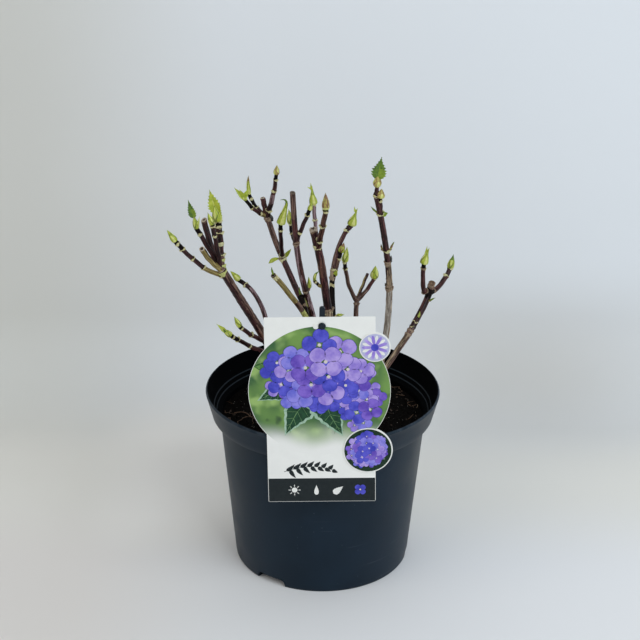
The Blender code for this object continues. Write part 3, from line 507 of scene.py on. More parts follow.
heads = {
    "head_far_left": ("cane_far_left", (
        dict(at=0.95, length=0.0634, headings=((200, 70), (200, 45), (200, 36)), radii=(0.0022, 0.0021),
             scars=(0.08, 0.38, 0.60, 0.82, 0.94), bud=(0.0136, 0.0050, "closed", (180, 33)),
             bark=("olive", (0.38, "dark"), (0.82, "black"))),
        dict(at=1.0, length=0.033, headings=((215, 50), (230, 30)), radii=(0.0026, 0.0026), bark=("olive",),
             cut="hollow", sideLightAndShade=((0.3, 1.0, (10, 70), 50, "dark"),)),
        dict(at=1.0, length=0.045, headings=((170, 30),), radii=(0.0022, 0.0021), scars=(0.84,),
             bud=(0.028, 0.0060, "stalked", (180, 12)), bark=("maroon", (0.4, "dark"), (0.86, "black"))),
        dict(at=1.0, length=0.048, headings=((135, 40), (120, 25)), radii=(0.0028, 0.0027),
             bark=("maroon", (0.5, "dark"), (0.95, "brown")), slant=(80, 38)),
        dict(at=1.0, length=0.050, headings=((240, 15),), radii=(0.0022, 0.0020), scars=(0.74, 0.95),
             bud=(0.0125, 0.0048, "closed", (180, 18)), bark=("dark", (0.95, "black"))),
        dict(at=1.0, length=0.045, headings=((90, 15), (120, 15)), radii=(0.0031, 0.0029),
             scars=(0.30, 0.52, 0.74, 0.86, 0.97), bud=(0.030, 0.0078, "wrapped", (180, 9)),
             collars=((0.08, "lime", 1.10), (0.20, "lime", 0.95)),
             bark=("brown", (0.30, "maroon"), (0.53, "dark"), (0.86, "black")),
             sideLightAndShade=((0.1, 0.5, (200, 80), 50, "rust"),)),
    )),
    "head_back_left": ("bough_back_left", (
        dict(at=0.70, length=0.050, headings=((265, 35), (270, 20)), radii=(0.0022, 0.0020), scars=(0.84,),
             collars=((0.10, "node", 1.05),), bud=(0.0310, 0.0066, "hooked", (0, 16)), look="hook",
             bark=("dark", (0.85, "black"))),
        dict(at=1.0, length=0.018, headings=((130, 20),), radii=(0.0026, 0.0026), bark=("maroon",),
             slant=(90, 16)),
        dict(at=1.0, length=0.033, headings=((215, 65), (215, 30)), radii=(0.0019, 0.0017),
             scars=(0.25, 0.62), bud=(0.018, 0.0056, "lobed", (180, 34)),
             bark=("olive", (0.25, "maroon"), (0.62, "black"))),
        dict(at=1.0, length=0.028, headings=((160, 65), (140, 25)), radii=(0.0018, 0.0017),
             scars=(0.45, 0.80), bud=(0.020, 0.0034, "narrow", (180, 7)), bark=("dark", (0.45, "black")),
             look="rolled"),
        dict(at=1.0, length=0.048, headings=((330, 22), (300, 9)), radii=(0.0027, 0.0017),
             scars=(0.14, 0.60, 0.86), bud=(0.0095, 0.0052, "closed", (0, 5)), look="ochre",
             bark=("dark", (0.32, "lilac"), (0.52, "maroon"), (0.87, "black"))),
        dict(at=0.70, length=0.004, headings=((215, 75),), radii=(0.0014, 0.0011),
             bud=(0.0132, 0.0052, "leaf", (185, 104)), facing=(268, 34), curl=46, rise=1.3, bark=("node",)),
        dict(at=0.70, length=0.004, headings=((350, 60),), radii=(0.0014, 0.0011),
             bud=(0.0118, 0.0044, "leaf", (350, 38)), facing=(265, 50), bark=("node",)),
        dict(at=0.97, length=0.0048, headings=((350, 75),), radii=(0.0015, 0.0014),
             bud=(0.0060, 0.0036, "closed", (180, 12)), look="dead", bark=("black",)),
    )),
    "head_front": ("cane_front", (
        dict(at=0.80, length=0.018, headings=((140, 45), (80, 12)), radii=(0.0021, 0.0018),
             scars=(0.45, 0.92), bud=(0.014, 0.0058, "closed", (180, 8)), bark=("dark", (0.5, "black"))),
        dict(at=0.80, length=0.038, headings=((320, 25),), radii=(0.0020, 0.0018), scars=(0.28, 0.82),
             bud=(0.009, 0.0038, "closed", (0, 15)), bark=("dark", (0.84, "black"))),
        dict(on="stub_olive", at=0.99, length=0.0020, headings=((200, 30),), radii=(0.0011, 0.0009),
             bud=(0.0080, 0.0017, "narrow", (185, 17)), look="sliver", bark=("black",)),
    )),
    "head_middle": ("cane_middle", (
        dict(at=0.69, length=0.0155, headings=((200, 70), (220, 30)), radii=(0.0019, 0.0014), scars=(0.85,),
             bud=(0.0120, 0.0028, "curled", (200, 5)), look="hook",
             bark=("rust", (0.25, "olive"), (0.6, "black"))),
        dict(at=0.90, length=0.042, headings=((104, 30), (102, 20)), radii=(0.0019, 0.0018),
             scars=(0.62, 0.96), bud=(0.021, 0.0064, "split", (180, 9)), bark=("lilac", (0.96, "black")),
             sideLightAndShade=((0.0, 0.95, (10, 80), 40, "dark"),)),
        dict(at=0.90, length=0.0512, headings=((290, 30), (290, 20)), radii=(0.0027, 0.0024),
             scars=(0.20, 0.58, 0.94), bud=(0.0165, 0.0064, "closed", (180, 1)), look="brown",
             bark=("maroon", (0.20, "red"), (0.93, "black"))),
    )),
    "head_back_right": ("cane_back_right", (
        dict(at=0.70, length=0.030, headings=((50, 30), (50, 24)), radii=(0.0019, 0.0017),
             scars=(0.35, 0.72), bud=(0.0105, 0.0058, "closed", (0, 16)), look="fading",
             bark=("black", (0.35, "brown"), (0.72, "black"))),
        dict(at=1.0, length=0.0058, headings=((20, 52),), radii=(0.0022, 0.0021),
             bud=(0.0190, 0.0078, "forked", (0, 15)), bark=("dark",)),
        dict(at=0.72, length=0.004, headings=((340, 60),), radii=(0.0012, 0.0010),
             bud=(0.0070, 0.0046, "leaf", (0, 24)), facing=(266, 60), bark=("black",)),
    )),
    "head_short": ("cane_short", (
        dict(at=1.0, length=0.050, headings=((210, 35), (235, 20), (235, 10)), radii=(0.0020, 0.0018),
             scars=(0.82, 0.97), bud=(0.0155, 0.0060, "closed", (0, 9)), bark=("brown", (0.84, "black"))),
        dict(at=1.0, length=0.028, headings=((50, 35),), radii=(0.0017, 0.0015), bark=("dark",),
             sideLightAndShade=((0.0, 0.97, (200, 70), 42, "olive"),), cut="dark"),
        dict(at=1.0, length=0.029, headings=((30, 60), (30, 28)), radii=(0.0020, 0.0018), scars=(0.94,),
             bud=(0.0130, 0.0074, "closed", (0, 6)), bark=("brown", (0.5, "maroon"), (0.93, "black"))),
    )),
    "head_tall_right": ("cane_tall_right", (
        dict(at=0.765, length=0.005, headings=((185, 75),), radii=(0.0011, 0.0009),
             bud=(0.006, 0.0015, "narrow", (200, 20)), look="spur", bark=("rust",)),
        dict(at=0.765, length=0.005, headings=((355, 70),), radii=(0.0011, 0.0009),
             bud=(0.008, 0.0017, "narrow", (0, 20)), look="spur", bark=("rust",)),
        dict(at=0.715, length=0.004, headings=((355, 70),), radii=(0.0012, 0.0010),
             bud=(0.0055, 0.0022, "closed", (0, 5)), look="dead", bark=("black",)),
        dict(at=0.610, length=0.004, headings=((185, 80),), radii=(0.0010, 0.0009),
             bud=(0.0025, 0.0016, "closed", (180, 30)), look="dead", bark=("black",)),
        dict(at=0.90, length=0.0255, headings=((257, 19),), radii=(0.0017, 0.0016), scars=(0.84,),
             bud=(0.0086, 0.0066, "closed", (0, 8)), look="ochre", bark=("maroon", (0.8, "black"))),
        dict(at=0.92, length=0.003, headings=((340, 80),), radii=(0.0012, 0.0011),
             bud=(0.0052, 0.0050, "leaf", (0, 70)), look="fresh", bark=("node",)),
        dict(at=0.925, length=0.004, headings=((185, 70),), radii=(0.0010, 0.0009),
             bud=(0.0085, 0.0016, "narrow", (185, 48)), look="sliver", bark=("node",)),
        dict(at=1.0, length=0.0104, headings=((270, 10), (340, 4)), radii=(0.0022, 0.0017), scars=(0.10,),
             bud=(0.0100, 0.0070, "crowned", (0, 3)), look="ochre", bark=("maroon", (0.86, "rust"))),
    )),
    "head_far_right": ("bough_far_right", (
        dict(at=0.735, length=0.003, headings=((290, 60),), radii=(0.0012, 0.0010),
             bud=(0.0065, 0.0022, "closed", (0, 12)), bark=("black",)),
        dict(at=0.915, length=0.0050, headings=((335, 80),), radii=(0.0009, 0.0008),
             bud=(0.0065, 0.0016, "narrow", (350, 55)), look="sliver", bark=("olive",)),
        dict(at=1.0, length=0.0430, headings=((222, 80), (254, 28), (272, 4), (290, 3)),
             radii=(0.0025, 0.0021), scars=(0.17, 0.86), scarTone="rust", collars=((0.86, "node", 0.98),),
             bud=(0.0182, 0.0076, "lipped", (0, 13)), bark=("black", (0.18, "maroon"), (0.88, "black"))),
        dict(at=1.0, length=0.0098, headings=((60, 20), (30, 20)), radii=(0.0026, 0.0034), scars=(0.62,),
             scarTone="rust", bark=("black", (0.45, "brown"), (0.66, "rust")), slant=(262, 40)),
        dict(at=1.0, length=0.038, headings=((45, 95), (50, 60), (50, 35)), radii=(0.0025, 0.0023),
             scars=(0.74, 0.97), bud=(0.0150, 0.0062, "closed", (0, 12)), look="hook",
             collars=((0.16, "rust", 0.9),), bark=("black", (0.18, "maroon"), (0.75, "dark"))),
    )),
}

sideShoots = {
    "shoot_arching": dict(
        parent="cane_far_left", at=0.45, length=0.081, headings=((100, 35), (115, 50), (150, 72)),
        radii=(0.0025, 0.0021), scars=(0.30, 0.88), bud=(0.0125, 0.0054, "closed", (180, 41)),
        bark=("brown", (0.28, "lime"), (0.35, "maroon"), (0.6, "dark"), (0.92, "black")),
        sideLightAndShade=((0.36, 0.80, (290, 60), 40, "lilac"),)),
    "shoot_low_inner": dict(
        parent="cane_far_left", at=0.50, length=0.047, headings=((230, 60), (230, 45)),
        radii=(0.0021, 0.0019), scars=(0.55, 0.92), bud=(0.0115, 0.0048, "closed", (180, 27)),
        bark=("maroon", (0.93, "black"))),
    "shoot_low_outer": dict(
        parent="cane_far_left", at=0.40, length=0.068, headings=((220, 60), (230, 50)),
        radii=(0.0021, 0.0019), scars=(0.55, 0.82, 0.95), bud=(0.016, 0.0056, "spread", (180, 50)),
        look="hook", bark=("maroon", (0.55, "dark"), (0.82, "black"))),
    "twig_front_left": dict(
        parent="cane_front", at=0.545, length=0.0072, headings=((192, 88), (195, 62)),
        radii=(0.0015, 0.0012), bud=(0.0085, 0.0017, "narrow", (182, 13)), look="sliver", bark=("black",)),
    "twig_front_right": dict(
        parent="cane_front", at=0.56, length=0.008, headings=((350, 40), (340, 15)), radii=(0.0013, 0.0011),
        bud=(0.0108, 0.0036, "closed", (185, 4)), bark=("rust",)),
    "twig_back_right": dict(
        parent="cane_back_right", at=0.50, length=0.006, headings=((345, 60),), radii=(0.0012, 0.0010),
        bud=(0.007, 0.0030, "closed", (350, 80)), bark=("node",)),
}


def direction(bearing, lean):
    bearing, lean = math.radians(bearing), math.radians(lean)
    flat = math.sin(lean)
    return np.array((flat * math.cos(bearing), flat * math.sin(bearing), math.cos(lean)))


def unit(vector):
    return vector / np.linalg.norm(vector)


def headingAt(headings, share):
    place = share * (len(headings) - 1)
    index = min(int(place), max(len(headings) - 2, 0))
    blend = place - index
    way = direction(*headings[index]) * (1 - blend)
    if blend:
        way = way + direction(*headings[index + 1]) * blend
    return unit(way)


def growLimb(start, spec):
    steps = growth["steps"]
    stride = spec["length"] / steps
    places = [np.array(start, float)]
    for k in range(steps):
        places.append(places[-1] + headingAt(spec["headings"], (k + 0.5) / steps) * stride)
    ways = [headingAt(spec["headings"], k / steps) for k in range(steps + 1)]
    shares = np.linspace(0, 1, steps + 1)
    return {"scars": (), "bud": None, **spec, "places": np.array(places), "ways": np.array(ways),
            "shares": shares}


def placeAt(limb, share):
    return np.array([np.interp(share, limb["shares"], limb["places"][:, k]) for k in range(3)]).T


def wayAt(limb, share):
    ways = np.array([np.interp(share, limb["shares"], limb["ways"][:, k]) for k in range(3)]).T
    return ways / np.linalg.norm(ways, axis=-1, keepdims=True)


def growPlant():
    limbs = {}
    for name, spec in canes.items():
        if "foot" in spec:
            start = (*spec["foot"], growth["soilTop"] + growth["gap"])
        else:
            start = placeAt(limbs[spec["parent"]], spec["at"])
        limbs[name] = growLimb(start, spec)
    return limbs


# bark

bark = dict(
    caneSides=22, shootSides=16, spacing=0.0008, ridge=0.030, relief=0.022, wobble=0.00018,
    collar=0.15, collarReach=0.0013, ledge=0.00055, ledgeDrop=0.0004, ledgeRun=0.0017,
    ringBelow=0.0008, ringAbove=0.0010, raggedness=0.00028, sheathRun=0.0024)


def ripple(seed, turn, along):
    # a smooth unevenness that closes on itself around a stem, about -1 to 1
    rng = np.random.default_rng(seed)
    total = 0.0
    for k in range(7):
        around = rng.integers(0, 5)
        waves = rng.uniform(60, 900)
        total = total + np.sin(around * turn + waves * along + rng.uniform(0, 6.3)) / 2.6
    return total


def carriedSides(ways):
    # a direction square to each way, turned no more than the line itself turns
    side = np.cross(ways[0], (0.0, 1.0, 0.0))
    sides = []
    for way in ways:
        side = unit(side - way * np.dot(side, way))
        sides.append(side)
    sides = np.array(sides)
    return sides, np.cross(ways, sides)


# a leaf scar is a half-moon lip on one side of a node, a collar is a lip all round a fork; both are for a
# stem of radius 1: (distance from the stem's middle, height) from below to inside the lip
scar = dict(halfWidth=66, thick=0.06,
            lip=((1.00, -0.62), (1.12, -0.30), (1.32, 0.02), (1.46, 0.30), (1.30, 0.36), (1.04, 0.14)))
collar = dict(sides=20, inner=((0.90, 0.05), (0.90, -0.80)),
              lip=((1.00, -0.72), (1.12, -0.40), (1.22, -0.04), (1.27, 0.24), (1.16, 0.30), (1.00, 0.08)))
scarFinishes = {
    "node": makeGritty("scar lip, pale", (0.420, 0.380, 0.150), (0.860, 0.820, 0.500), 900.0, 0.6, 0.5),
    "lime": makeGritty("scar lip, lime", (0.380, 0.380, 0.090), (0.720, 0.740, 0.290), 800.0, 0.55, 0.5),
    "rust": makeGritty("scar lip, brown", (0.110, 0.062, 0.038), (0.420, 0.300, 0.200), 900.0, 0.65, 0.6),
    "black": makeGritty("scar lip, black", (0.002, 0.0015, 0.002), (0.020, 0.012, 0.012), 900.0, 0.6, 0.6),
}


def scarShape():
    piece = newPiece("scar", {"lip": scarFinishes["node"]})
    turn = np.linspace(-1, 1, 11)
    ends = np.cos(turn * math.pi / 2) ** 0.6
    rows = [(1 + (r - 1) * ends, z * (0.25 + 0.75 * ends)) for r, z in scar["lip"]]
    angle = turn * math.radians(scar["halfWidth"])
    points = np.array([np.stack([r * np.cos(angle), r * np.sin(angle), z], -1) for r, z in rows])
    addSheet(piece, points, scar["thick"], "lip")
    return buildPiece(piece)


def collarShape():
    piece = newPiece("collar", {"lip": scarFinishes["node"]})
    angle = fullTurn(collar["sides"])
    uneven = 1 + 0.50 * np.cos(2 * angle) + 0.22 * np.cos(5 * angle + 1)
    rows = [(1 + (r - 1) * uneven, z * uneven) for r, z in collar["lip"]]
    rows += [(r + 0 * angle, z + 0 * angle) for r, z in collar["inner"]]
    points = np.array([np.stack([r * np.cos(angle), r * np.sin(angle), z], -1) for r, z in rows])
    addFaces(piece, points, gridFaces(len(rows), collar["sides"], True), "lip")
    last = (len(rows) - 1) * collar["sides"]
    k = np.arange(collar["sides"])
    after = (k + 1) % collar["sides"]
    addFaces(piece, points, np.stack([last + k, last + after, after, k], -1), "lip")
    return buildPiece(piece)


def makeScars(horns):
    # every lip, placed by Geometry Nodes and joined
    meshes = []
    for kind, shape in (("scar", scarShape()), ("collar", collarShape())):
        for tone, finish in scarFinishes.items():
            chosen = [horn for horn in horns if horn["kind"] == kind and horn["tone"] == tone]
            if chosen:
                rows = ([horn[key] for horn in chosen] for key in ("place", "way", "out", "size"))
                meshes.append(placeCopies(shape, finish, *rows))
        dropObjects(shape)
    return rideRoot(joinMeshes("leaf_scars", meshes), "shoots")


def scarTurn(seed, k):
    return seed * 1.7 + k * math.pi / 2


def barkTones(piece, limb, share, turn, normals, seed):
    # the tone of each face by its place along and around the limb
    number = piece["tones"]
    length = limb["length"]
    along = share * length
    ragged = ripple(seed + 5, turn, along) * bark["raggedness"]
    where = share + ragged / length * 2.5
    foot, *others = limb["bark"]
    tones = np.full(share.shape, number[foot])
    for begins, tone in others:
        tones[where >= begins] = number[tone]
    # painted highlight and shade: faces turned towards a given direction take that side's tone
    for first, last, towards, reach, tone in limb.get("sideLightAndShade", ()):
        facing = normals @ direction(*towards)
        edge = math.cos(math.radians(reach)) + ripple(seed + 9, turn * 0, along * 0.4) * 0.12
        tones[(facing > edge) & (where > first) & (where < last)] = number[tone]
    for k, at in enumerate(limb["scars"]):
        away = (share - at) * length + ragged
        ringTone = limb.get("scarTone", "node")
        thick = 0.45 + 0.85 * np.abs(np.cos(turn - scarTurn(seed, k))) ** 2
        tones[(away > -bark["ringBelow"] * thick) & (away < bark["ringAbove"] * thick)] = number[ringTone]
        # painted shade: above a pale ring a band in the black bark tone, where the scar's lip shades the stem
        if ringTone == "node":
            ended = bark["ringAbove"] * thick + bark["sheathRun"] * 0.3
            tones[(away >= bark["ringAbove"] * thick) & (away < ended)] = number["black"]
    return tones


def addLimb(piece, limb, start, end, sides, seed, horns):
    length = limb["length"]
    count = max(8, round((end - start) * length / bark["spacing"]))
    shares = np.linspace(start, end, count + 1)
    along = shares[:, None] * length
    turn = fullTurn(sides)[None, :]
    ways = wayAt(limb, shares)
    side, other = carriedSides(ways)
    first, last = limb["radii"]
    radius = (first + (last - first) * shares)[:, None]
    swell = bark["ridge"] * np.cos(4 * turn + seed) * 0.6 + bark["relief"] * ripple(seed, turn, along)
    ledges = 0.0
    for k, at in enumerate(limb["scars"]):
        away = (shares[:, None] - at) * length
        swell = swell + bark["collar"] * np.exp(-(away / bark["collarReach"]) ** 2)
        below = np.clip(1 + away / bark["ledgeRun"], 0, 1) * (away <= 0)
        above = np.clip(1 - away / bark["ledgeDrop"], 0, 1) * (away > 0)
        turned = scarTurn(seed, k)
        ledges = ledges + (below + above) * np.abs(np.cos(turn - turned)) ** 3 * bark["ledge"]
        if start <= at <= end:
            row = np.abs(shares - at).argmin()
            for sign in (1, -1):
                out = (side[row] * math.cos(turned) + other[row] * math.sin(turned)) * sign
                size = radius[row, 0] * (1.06 + 0.08 * math.sin(seed * 3 + k * 5 + sign))
                horns.append(dict(kind="scar", tone=limb.get("scarTone", "node"), place=placeAt(limb, at),
                                  way=ways[row], out=out, size=size))
    for at, tone, size in limb.get("collars", ()):
        row = np.abs(shares - at).argmin()
        out = unit(np.cross(ways[row], direction(270, 20)))
        horns.append(dict(kind="collar", tone=tone, place=placeAt(limb, at), way=ways[row], out=out,
                          size=radius[row, 0] * size))
    if "parent" in limb or "at" in limb:
        swell = swell + 0.30 * np.exp(-(along / 0.0042) ** 2)
    else:
        swell = swell + 0.22 * np.exp(-(along / 0.006) ** 2)
    radius = radius * (1 + swell) + ledges
    drift = np.sin(shares * 17 + seed)[:, None] * side + np.cos(shares * 13 + seed)[:, None] * other
    centres = placeAt(limb, shares) + drift * bark["wobble"]
    outward = np.cos(turn)[..., None] * side[:, None] + np.sin(turn)[..., None] * other[:, None]
    rings = centres[:, None] + radius[..., None] * outward
    shareFaces = np.repeat((shares[1:] + shares[:-1])[:, None] / 2, sides, 1)
    turnFaces = np.repeat(turn + math.pi / sides, count, 0)
    tones = barkTones(piece, limb, shareFaces, turnFaces, outward[:-1], seed)
    steps = shares * length * 100
    if end >= 1.0 and not limb["bud"]:
        rings, tones, steps = addCut(piece, limb, rings, tones, steps, ways[-1], seed, turn)
    addTube(piece, rings, tones.ravel(), seed * 3.7, steps)


def addCut(piece, limb, rings, tones, steps, way, seed, turn):
    # the pruned end: a slanted face with a rim of wood round a sunken pith
    kind = limb.get("cut", "plain")
    bearing, slant = limb.get("slant", (seed * 70.0, 12.0))
    towards = direction(bearing, 90)
    reach = 5
    tilt = math.tan(math.radians(slant))
    for k in range(reach):
        ring = rings[-reach + k]
        offset = (ring - ring.mean(0)) @ towards
        rings[-reach + k] = ring + way * (offset * tilt * ((k + 1) / reach) ** 2)[:, None]
    rim = rings[-1]
    middle = rim.mean(0)
    depths = {"plain": 0.0006, "dark": 0.0004, "hollow": 0.0035, "ragged": 0.0045}[kind]
    uneven = ripple(seed + 3, turn[0] * 2, 0.0)
    ragged = uneven * (0.0009 if kind == "ragged" else 0.00012)
    inner = 0.62 if kind in ("hollow", "ragged") else 0.45
    wood = "pith" if kind == "dark" else "cut"
    # painted shade: a hollow or ragged cut ends in a near-black ring at the bottom of the hole
    profile = [(0.90, 0.00025, wood), (inner, 0.0003, wood), (inner * 0.86, -depths * 0.6, "pith"),
               (inner * 0.4, -depths, "hollow" if kind in ("hollow", "ragged") else "pith")]
    number = piece["tones"]
    rows, extraTones = [], []
    for share, rise, tone in profile:
        lift = way * (rise + (ragged if share > 0.5 else 0 * ragged))[:, None]
        rows.append(middle + (rim - middle) * share + lift)
        extraTones.append(np.full(len(rim), number[tone]))
    rings = np.concatenate([rings, np.array(rows)])
    tones = np.concatenate([tones, np.array(extraTones)])
    return rings, tones, np.concatenate([steps, steps[-1] + np.array([0.05, 0.1, 0.15, 0.2])])


# buds and leaves

bud = dict(sides=16, rings=20, thinnest=0.00018, core=0.0003, scaleThick=0.00022, lift=0.00012, keel=0.00022,
           sheet=0.00034)
# widest is the share of the length where a bud is fullest, drawn thins what is above it
budShapes = {
    "closed": dict(widest=0.34, drawn=0.25, bendFrom=0.5, bend=10.0, towards=(180, 90)),
    "hooked": dict(widest=0.17, drawn=0.35, bendFrom=0.66, bend=430.0, towards=(190, 100)),
    "drawn": dict(widest=0.27, drawn=0.65, bendFrom=0.2, bend=16.0, towards=(0, 90)),
    "narrow": dict(widest=0.42, drawn=0.1, bendFrom=0.3, bend=26.0, towards=(0, 90)),
    "curled": dict(widest=0.35, drawn=0.2, bendFrom=0.1, bend=85.0, towards=(10, 90)),
    "round": dict(widest=0.42, drawn=0.0, bendFrom=0.9, bend=0.0, towards=(180, 90)),
}
# skin, stripe along the middle, edge, then the tones of the foot and of the tip, if other
budLooks = {
    "green": ("green", "light", "rim", None, None), "ochre": ("ochre", "light", "brown", None, None),
    "brown": ("ochre", "brown", "brown", "light", "brown"), "hook": ("green", "light", "rim", None, "deep"),
    "rolled": ("green", "light", "rim", "light", "brown"), "spur": ("brown", "brown", "tip", "green", "tip"),
    "fading": ("green", "ochre", "brown", None, "brown"),
    "dead": ("tip", "tip", "tip", None, None), "sliver": ("fresh", "rim", "deep", None, "deep"),
}
# what opens from a shoot's end: the bud's share of length and width, its shape, then each leaf's
# (foot, heading, facing, length, width, fold, curl, tone), lengths in shares of the whole
openings = {
    "wrapped": (0.58, 1.05, "closed", (
        (0.30, (183, 15), (272, 78), 0.72, 1.40, 18, 8, "leaf"),
        (0.02, (12, 7), (262, 74), 0.60, 1.05, 34, -14, "leaf"),
        (0.12, (176, 14), (285, 70), 0.42, 0.60, 26, 16, "leaf"),
        (0.30, (150, 4), (268, 80), 0.46, 0.90, 12, 4, "green"))),
    "stalked": (0.46, 0.86, "closed", (
        (0.38, (182, 17), (262, 82), 0.62, 1.20, 22, 8, "deep"),
        (0.00, (15, 14), (270, 80), 0.42, 0.52, 20, 6, "light"))),
    "lobed": (0.36, 0.70, "closed", (
        (0.08, (182, 42), (262, 62), 0.84, 1.05, 30, 14, "leaf"),
        (0.16, (15, 24), (272, 70), 0.58, 0.90, 22, 10, "green"),
        (0.10, (175, 30), (285, 70), 0.60, 0.80, 30, -10, "green"))),
    "split": (0.86, 0.98, "drawn", (
        (0.74, (182, 62), (265, 60), 0.20, 0.24, 20, 8, "green"),
        (0.66, (175, 6), (270, 80), 0.36, 0.36, 24, 6, "leaf"))),
    "forked": (0.90, 0.98, "drawn", (
        (0.74, (180, 12), (268, 75), 0.32, 0.26, 20, 6, "green"),
        (0.76, (10, 30), (268, 70), 0.24, 0.20, 20, 6, "green"))),
    "lipped": (0.96, 0.88, "drawn", (
        (0.02, (0, 34), (275, 60), 0.48, 0.62, 34, -22, "green"),
        (0.40, (5, 6), (268, 76), 0.62, 0.42, 22, 4, "leaf"))),
    "spread": (0.66, 0.94, "closed", (
        (0.42, (180, 48), (270, 60), 0.68, 0.74, 24, 6, "leaf"),
        (0.12, (186, 60), (270, 40), 0.55, 0.62, 22, 12, "green"))),
}


def pointed(share, rise, drawn):
    # a smooth swelling along a length, 1 at its fullest
    def swelling(v):
        return np.sin(math.pi * v ** rise) ** 0.85 * (1 - v) ** drawn
    return swelling(np.clip(share, 0, 1)) / swelling(np.linspace(0.01, 0.99, 99)).max()


def budProfile(share, shape):
    rise = math.log(0.5) / math.log(shape["widest"])
    return pointed(share, rise, shape["drawn"]) + 0.42 * (1 - share) ** 5 + 0.03


def budLine(base, way, length, shape, count=40):
    # the centre line of a bud, whose tip may bend over
    shares = np.linspace(0, 1, count)
    places, ways, place = [], [], np.array(base, float)
    for k, share in enumerate(shares):
        turned = math.radians(shape["bend"]) * max(0.0, share - shape["bendFrom"]) ** 1.3
        now = unit(way * math.cos(turned) + direction(*shape["towards"]) * math.sin(turned))
        if k:
            place = place + now * length / (count - 1)
        places.append(place)
        ways.append(now)
    places, ways = np.array(places), np.array(ways)
    side, other = carriedSides(ways)
    return dict(shares=shares, places=places, side=side, other=other, shape=shape)


def onBud(line, shares, turns, radii):
    # points round a bud's centre line
    def blended(key):
        return np.stack([np.interp(shares, line["shares"], line[key][:, k]) for k in range(3)], -1)
    return (blended("places") + blended("side") * (radii * np.cos(turns))[..., None]
            + blended("other") * (radii * np.sin(turns))[..., None])


def addBud(piece, base, way, length, width, look, seed, shape):
    line = budLine(base, way, length, shape)
    number = piece["tones"]
    skin, stripe, edge, foot, tip = budLooks[look]
    shares = np.linspace(0, 1, bud["rings"])[:, None]
    turns = fullTurn(bud["sides"])[None, :]
    radii = np.maximum(bud["thinnest"], (width / 2 - bud["core"]) * budProfile(shares, shape))
    radii = radii * (1 + 0.05 * np.cos(4 * turns + seed))
    grid = np.broadcast_arrays(shares, turns)
    core = np.full((bud["rings"] - 1, bud["sides"]), number[skin])
    if foot:
        core[: bud["rings"] // 3] = number[foot]
    if tip:
        core[-bud["rings"] // 4:] = number[tip]
    addTube(piece, onBud(line, grid[0], grid[1], radii), core.ravel())
    facing = seed * 2.1
    for pair, (reach, lift, spread) in enumerate(((0.97, 0.3, 88.0), (0.62, 1.0, 96.0))):
        for k in range(2):
            turned = facing + pair * math.pi / 2 + k * math.pi
            addScale(piece, line, width, turned, reach - 0.06 * k, lift, spread, budLooks[look])


def addScale(piece, line, width, facing, reach, lift, spread, tones):
    # one scale of a bud, wrapped round it from its base and free at its edges
    rows, columns = 14, 9
    v = np.linspace(0, 1, rows)[:, None]
    u = np.linspace(-1, 1, columns)[None, :]
    turns = facing + u * math.radians(spread) * (1 - v ** 2.2) ** 0.7
    shares = v * reach + 0 * u
    radii = (width / 2 - bud["core"]) * budProfile(np.clip(shares, 0, 0.985), line["shape"])
    radii = radii + bud["lift"] * (1.0 + lift * (0.6 + 1.6 * u ** 2))
    radii = radii + bud["keel"] * np.exp(-(u / 0.16) ** 2) * (1 - v)
    number = piece["tones"]
    skin, stripe, edge, foot, tip = tones
    grid = np.zeros((rows - 1, columns - 1), int) + number[skin]
    grid[:, columns // 2 - 1: columns // 2 + 1] = number[stripe]
    grid[:, 0] = grid[:, -1] = number[edge]
    if foot:
        grid[: rows // 3] = number[foot]
    if tip and reach > 0.8:
        grid[-rows // 4:] = number[tip]
    addSheet(piece, onBud(line, shares, turns + 0 * v, radii), bud["scaleThick"], grid)


def addLeaf(piece, base, way, face, length, width, fold=24.0, curl=20.0, tone="leaf", rise=0.62, drawn=0.15,
            bite=0.09, veins=6, rows=27, quilt=0.035, seed=0):
    # a leaf blade: folded on its midrib, curled along its length, toothed, with sunken veins
    face = unit(face - way * np.dot(face, way))
    side = np.cross(way, face)
    v = np.linspace(0, 1, rows)
    u = np.array([-1.0, -0.80, -0.50, -0.22, -0.07, 0.07, 0.22, 0.50, 0.80, 1.0])
    bend = math.radians(curl) * v ** 1.4
    ways = way[None] * np.cos(bend)[:, None] - face[None] * np.sin(bend)[:, None]
    faces = face[None] * np.cos(bend)[:, None] + way[None] * np.sin(bend)[:, None]
    stepped = np.concatenate([[np.zeros(3)], np.cumsum((ways[1:] + ways[:-1]) / 2, 0)])
    centres = base + stepped * length / (rows - 1)
    reach = np.maximum(pointed(v, rise, drawn), 0.03) * width / 2
    rng = np.random.default_rng(seed)
    grid = np.zeros((rows, len(u), 3))
    for k, across in enumerate(u):
        outer = abs(across) == 1
        tooth = np.where(np.arange(rows) % 2 == 0, 1.0, -1.0) * rng.uniform(0.7, 1.3, rows) * outer
        out = reach * across * (1 + bite * tooth)
        veined = np.abs(np.sin(math.pi * (v * veins - abs(across) * 0.9)))
        waved = 0.07 * np.sin(v * 19 + seed + across) * reach * abs(across)
        lifted = np.abs(out) * math.sin(math.radians(fold)) + waved
        lifted = lifted + quilt * width * veined * (1 - across ** 2) * (abs(across) > 0.2)
        grid[:, k] = (centres + side * (out * math.cos(math.radians(fold)))[:, None] + faces * lifted[:, None]
                      + ways * (bite * 0.30 * tooth * length / 2)[:, None])
    number = piece["tones"]
    toneGrid = np.full((rows - 1, len(u) - 1), number[tone])
    toneGrid[:, 4] = number[{"leaf": "light", "deep": "fresh"}.get(tone, "rib")]
    if tone == "deep":
        toneGrid[: rows // 2, 5:] = number["fresh"]
    addSheet(piece, grid, bud["sheet"], toneGrid)


crown = dict(
    length=0.0200, width=0.0128, heading=(350, 9), face=(268, 80), at=0.70,
    blade=dict(fold=16, curl=10, tone="deep", rise=0.76, drawn=0.62, bite=0.18, rows=19, veins=7))


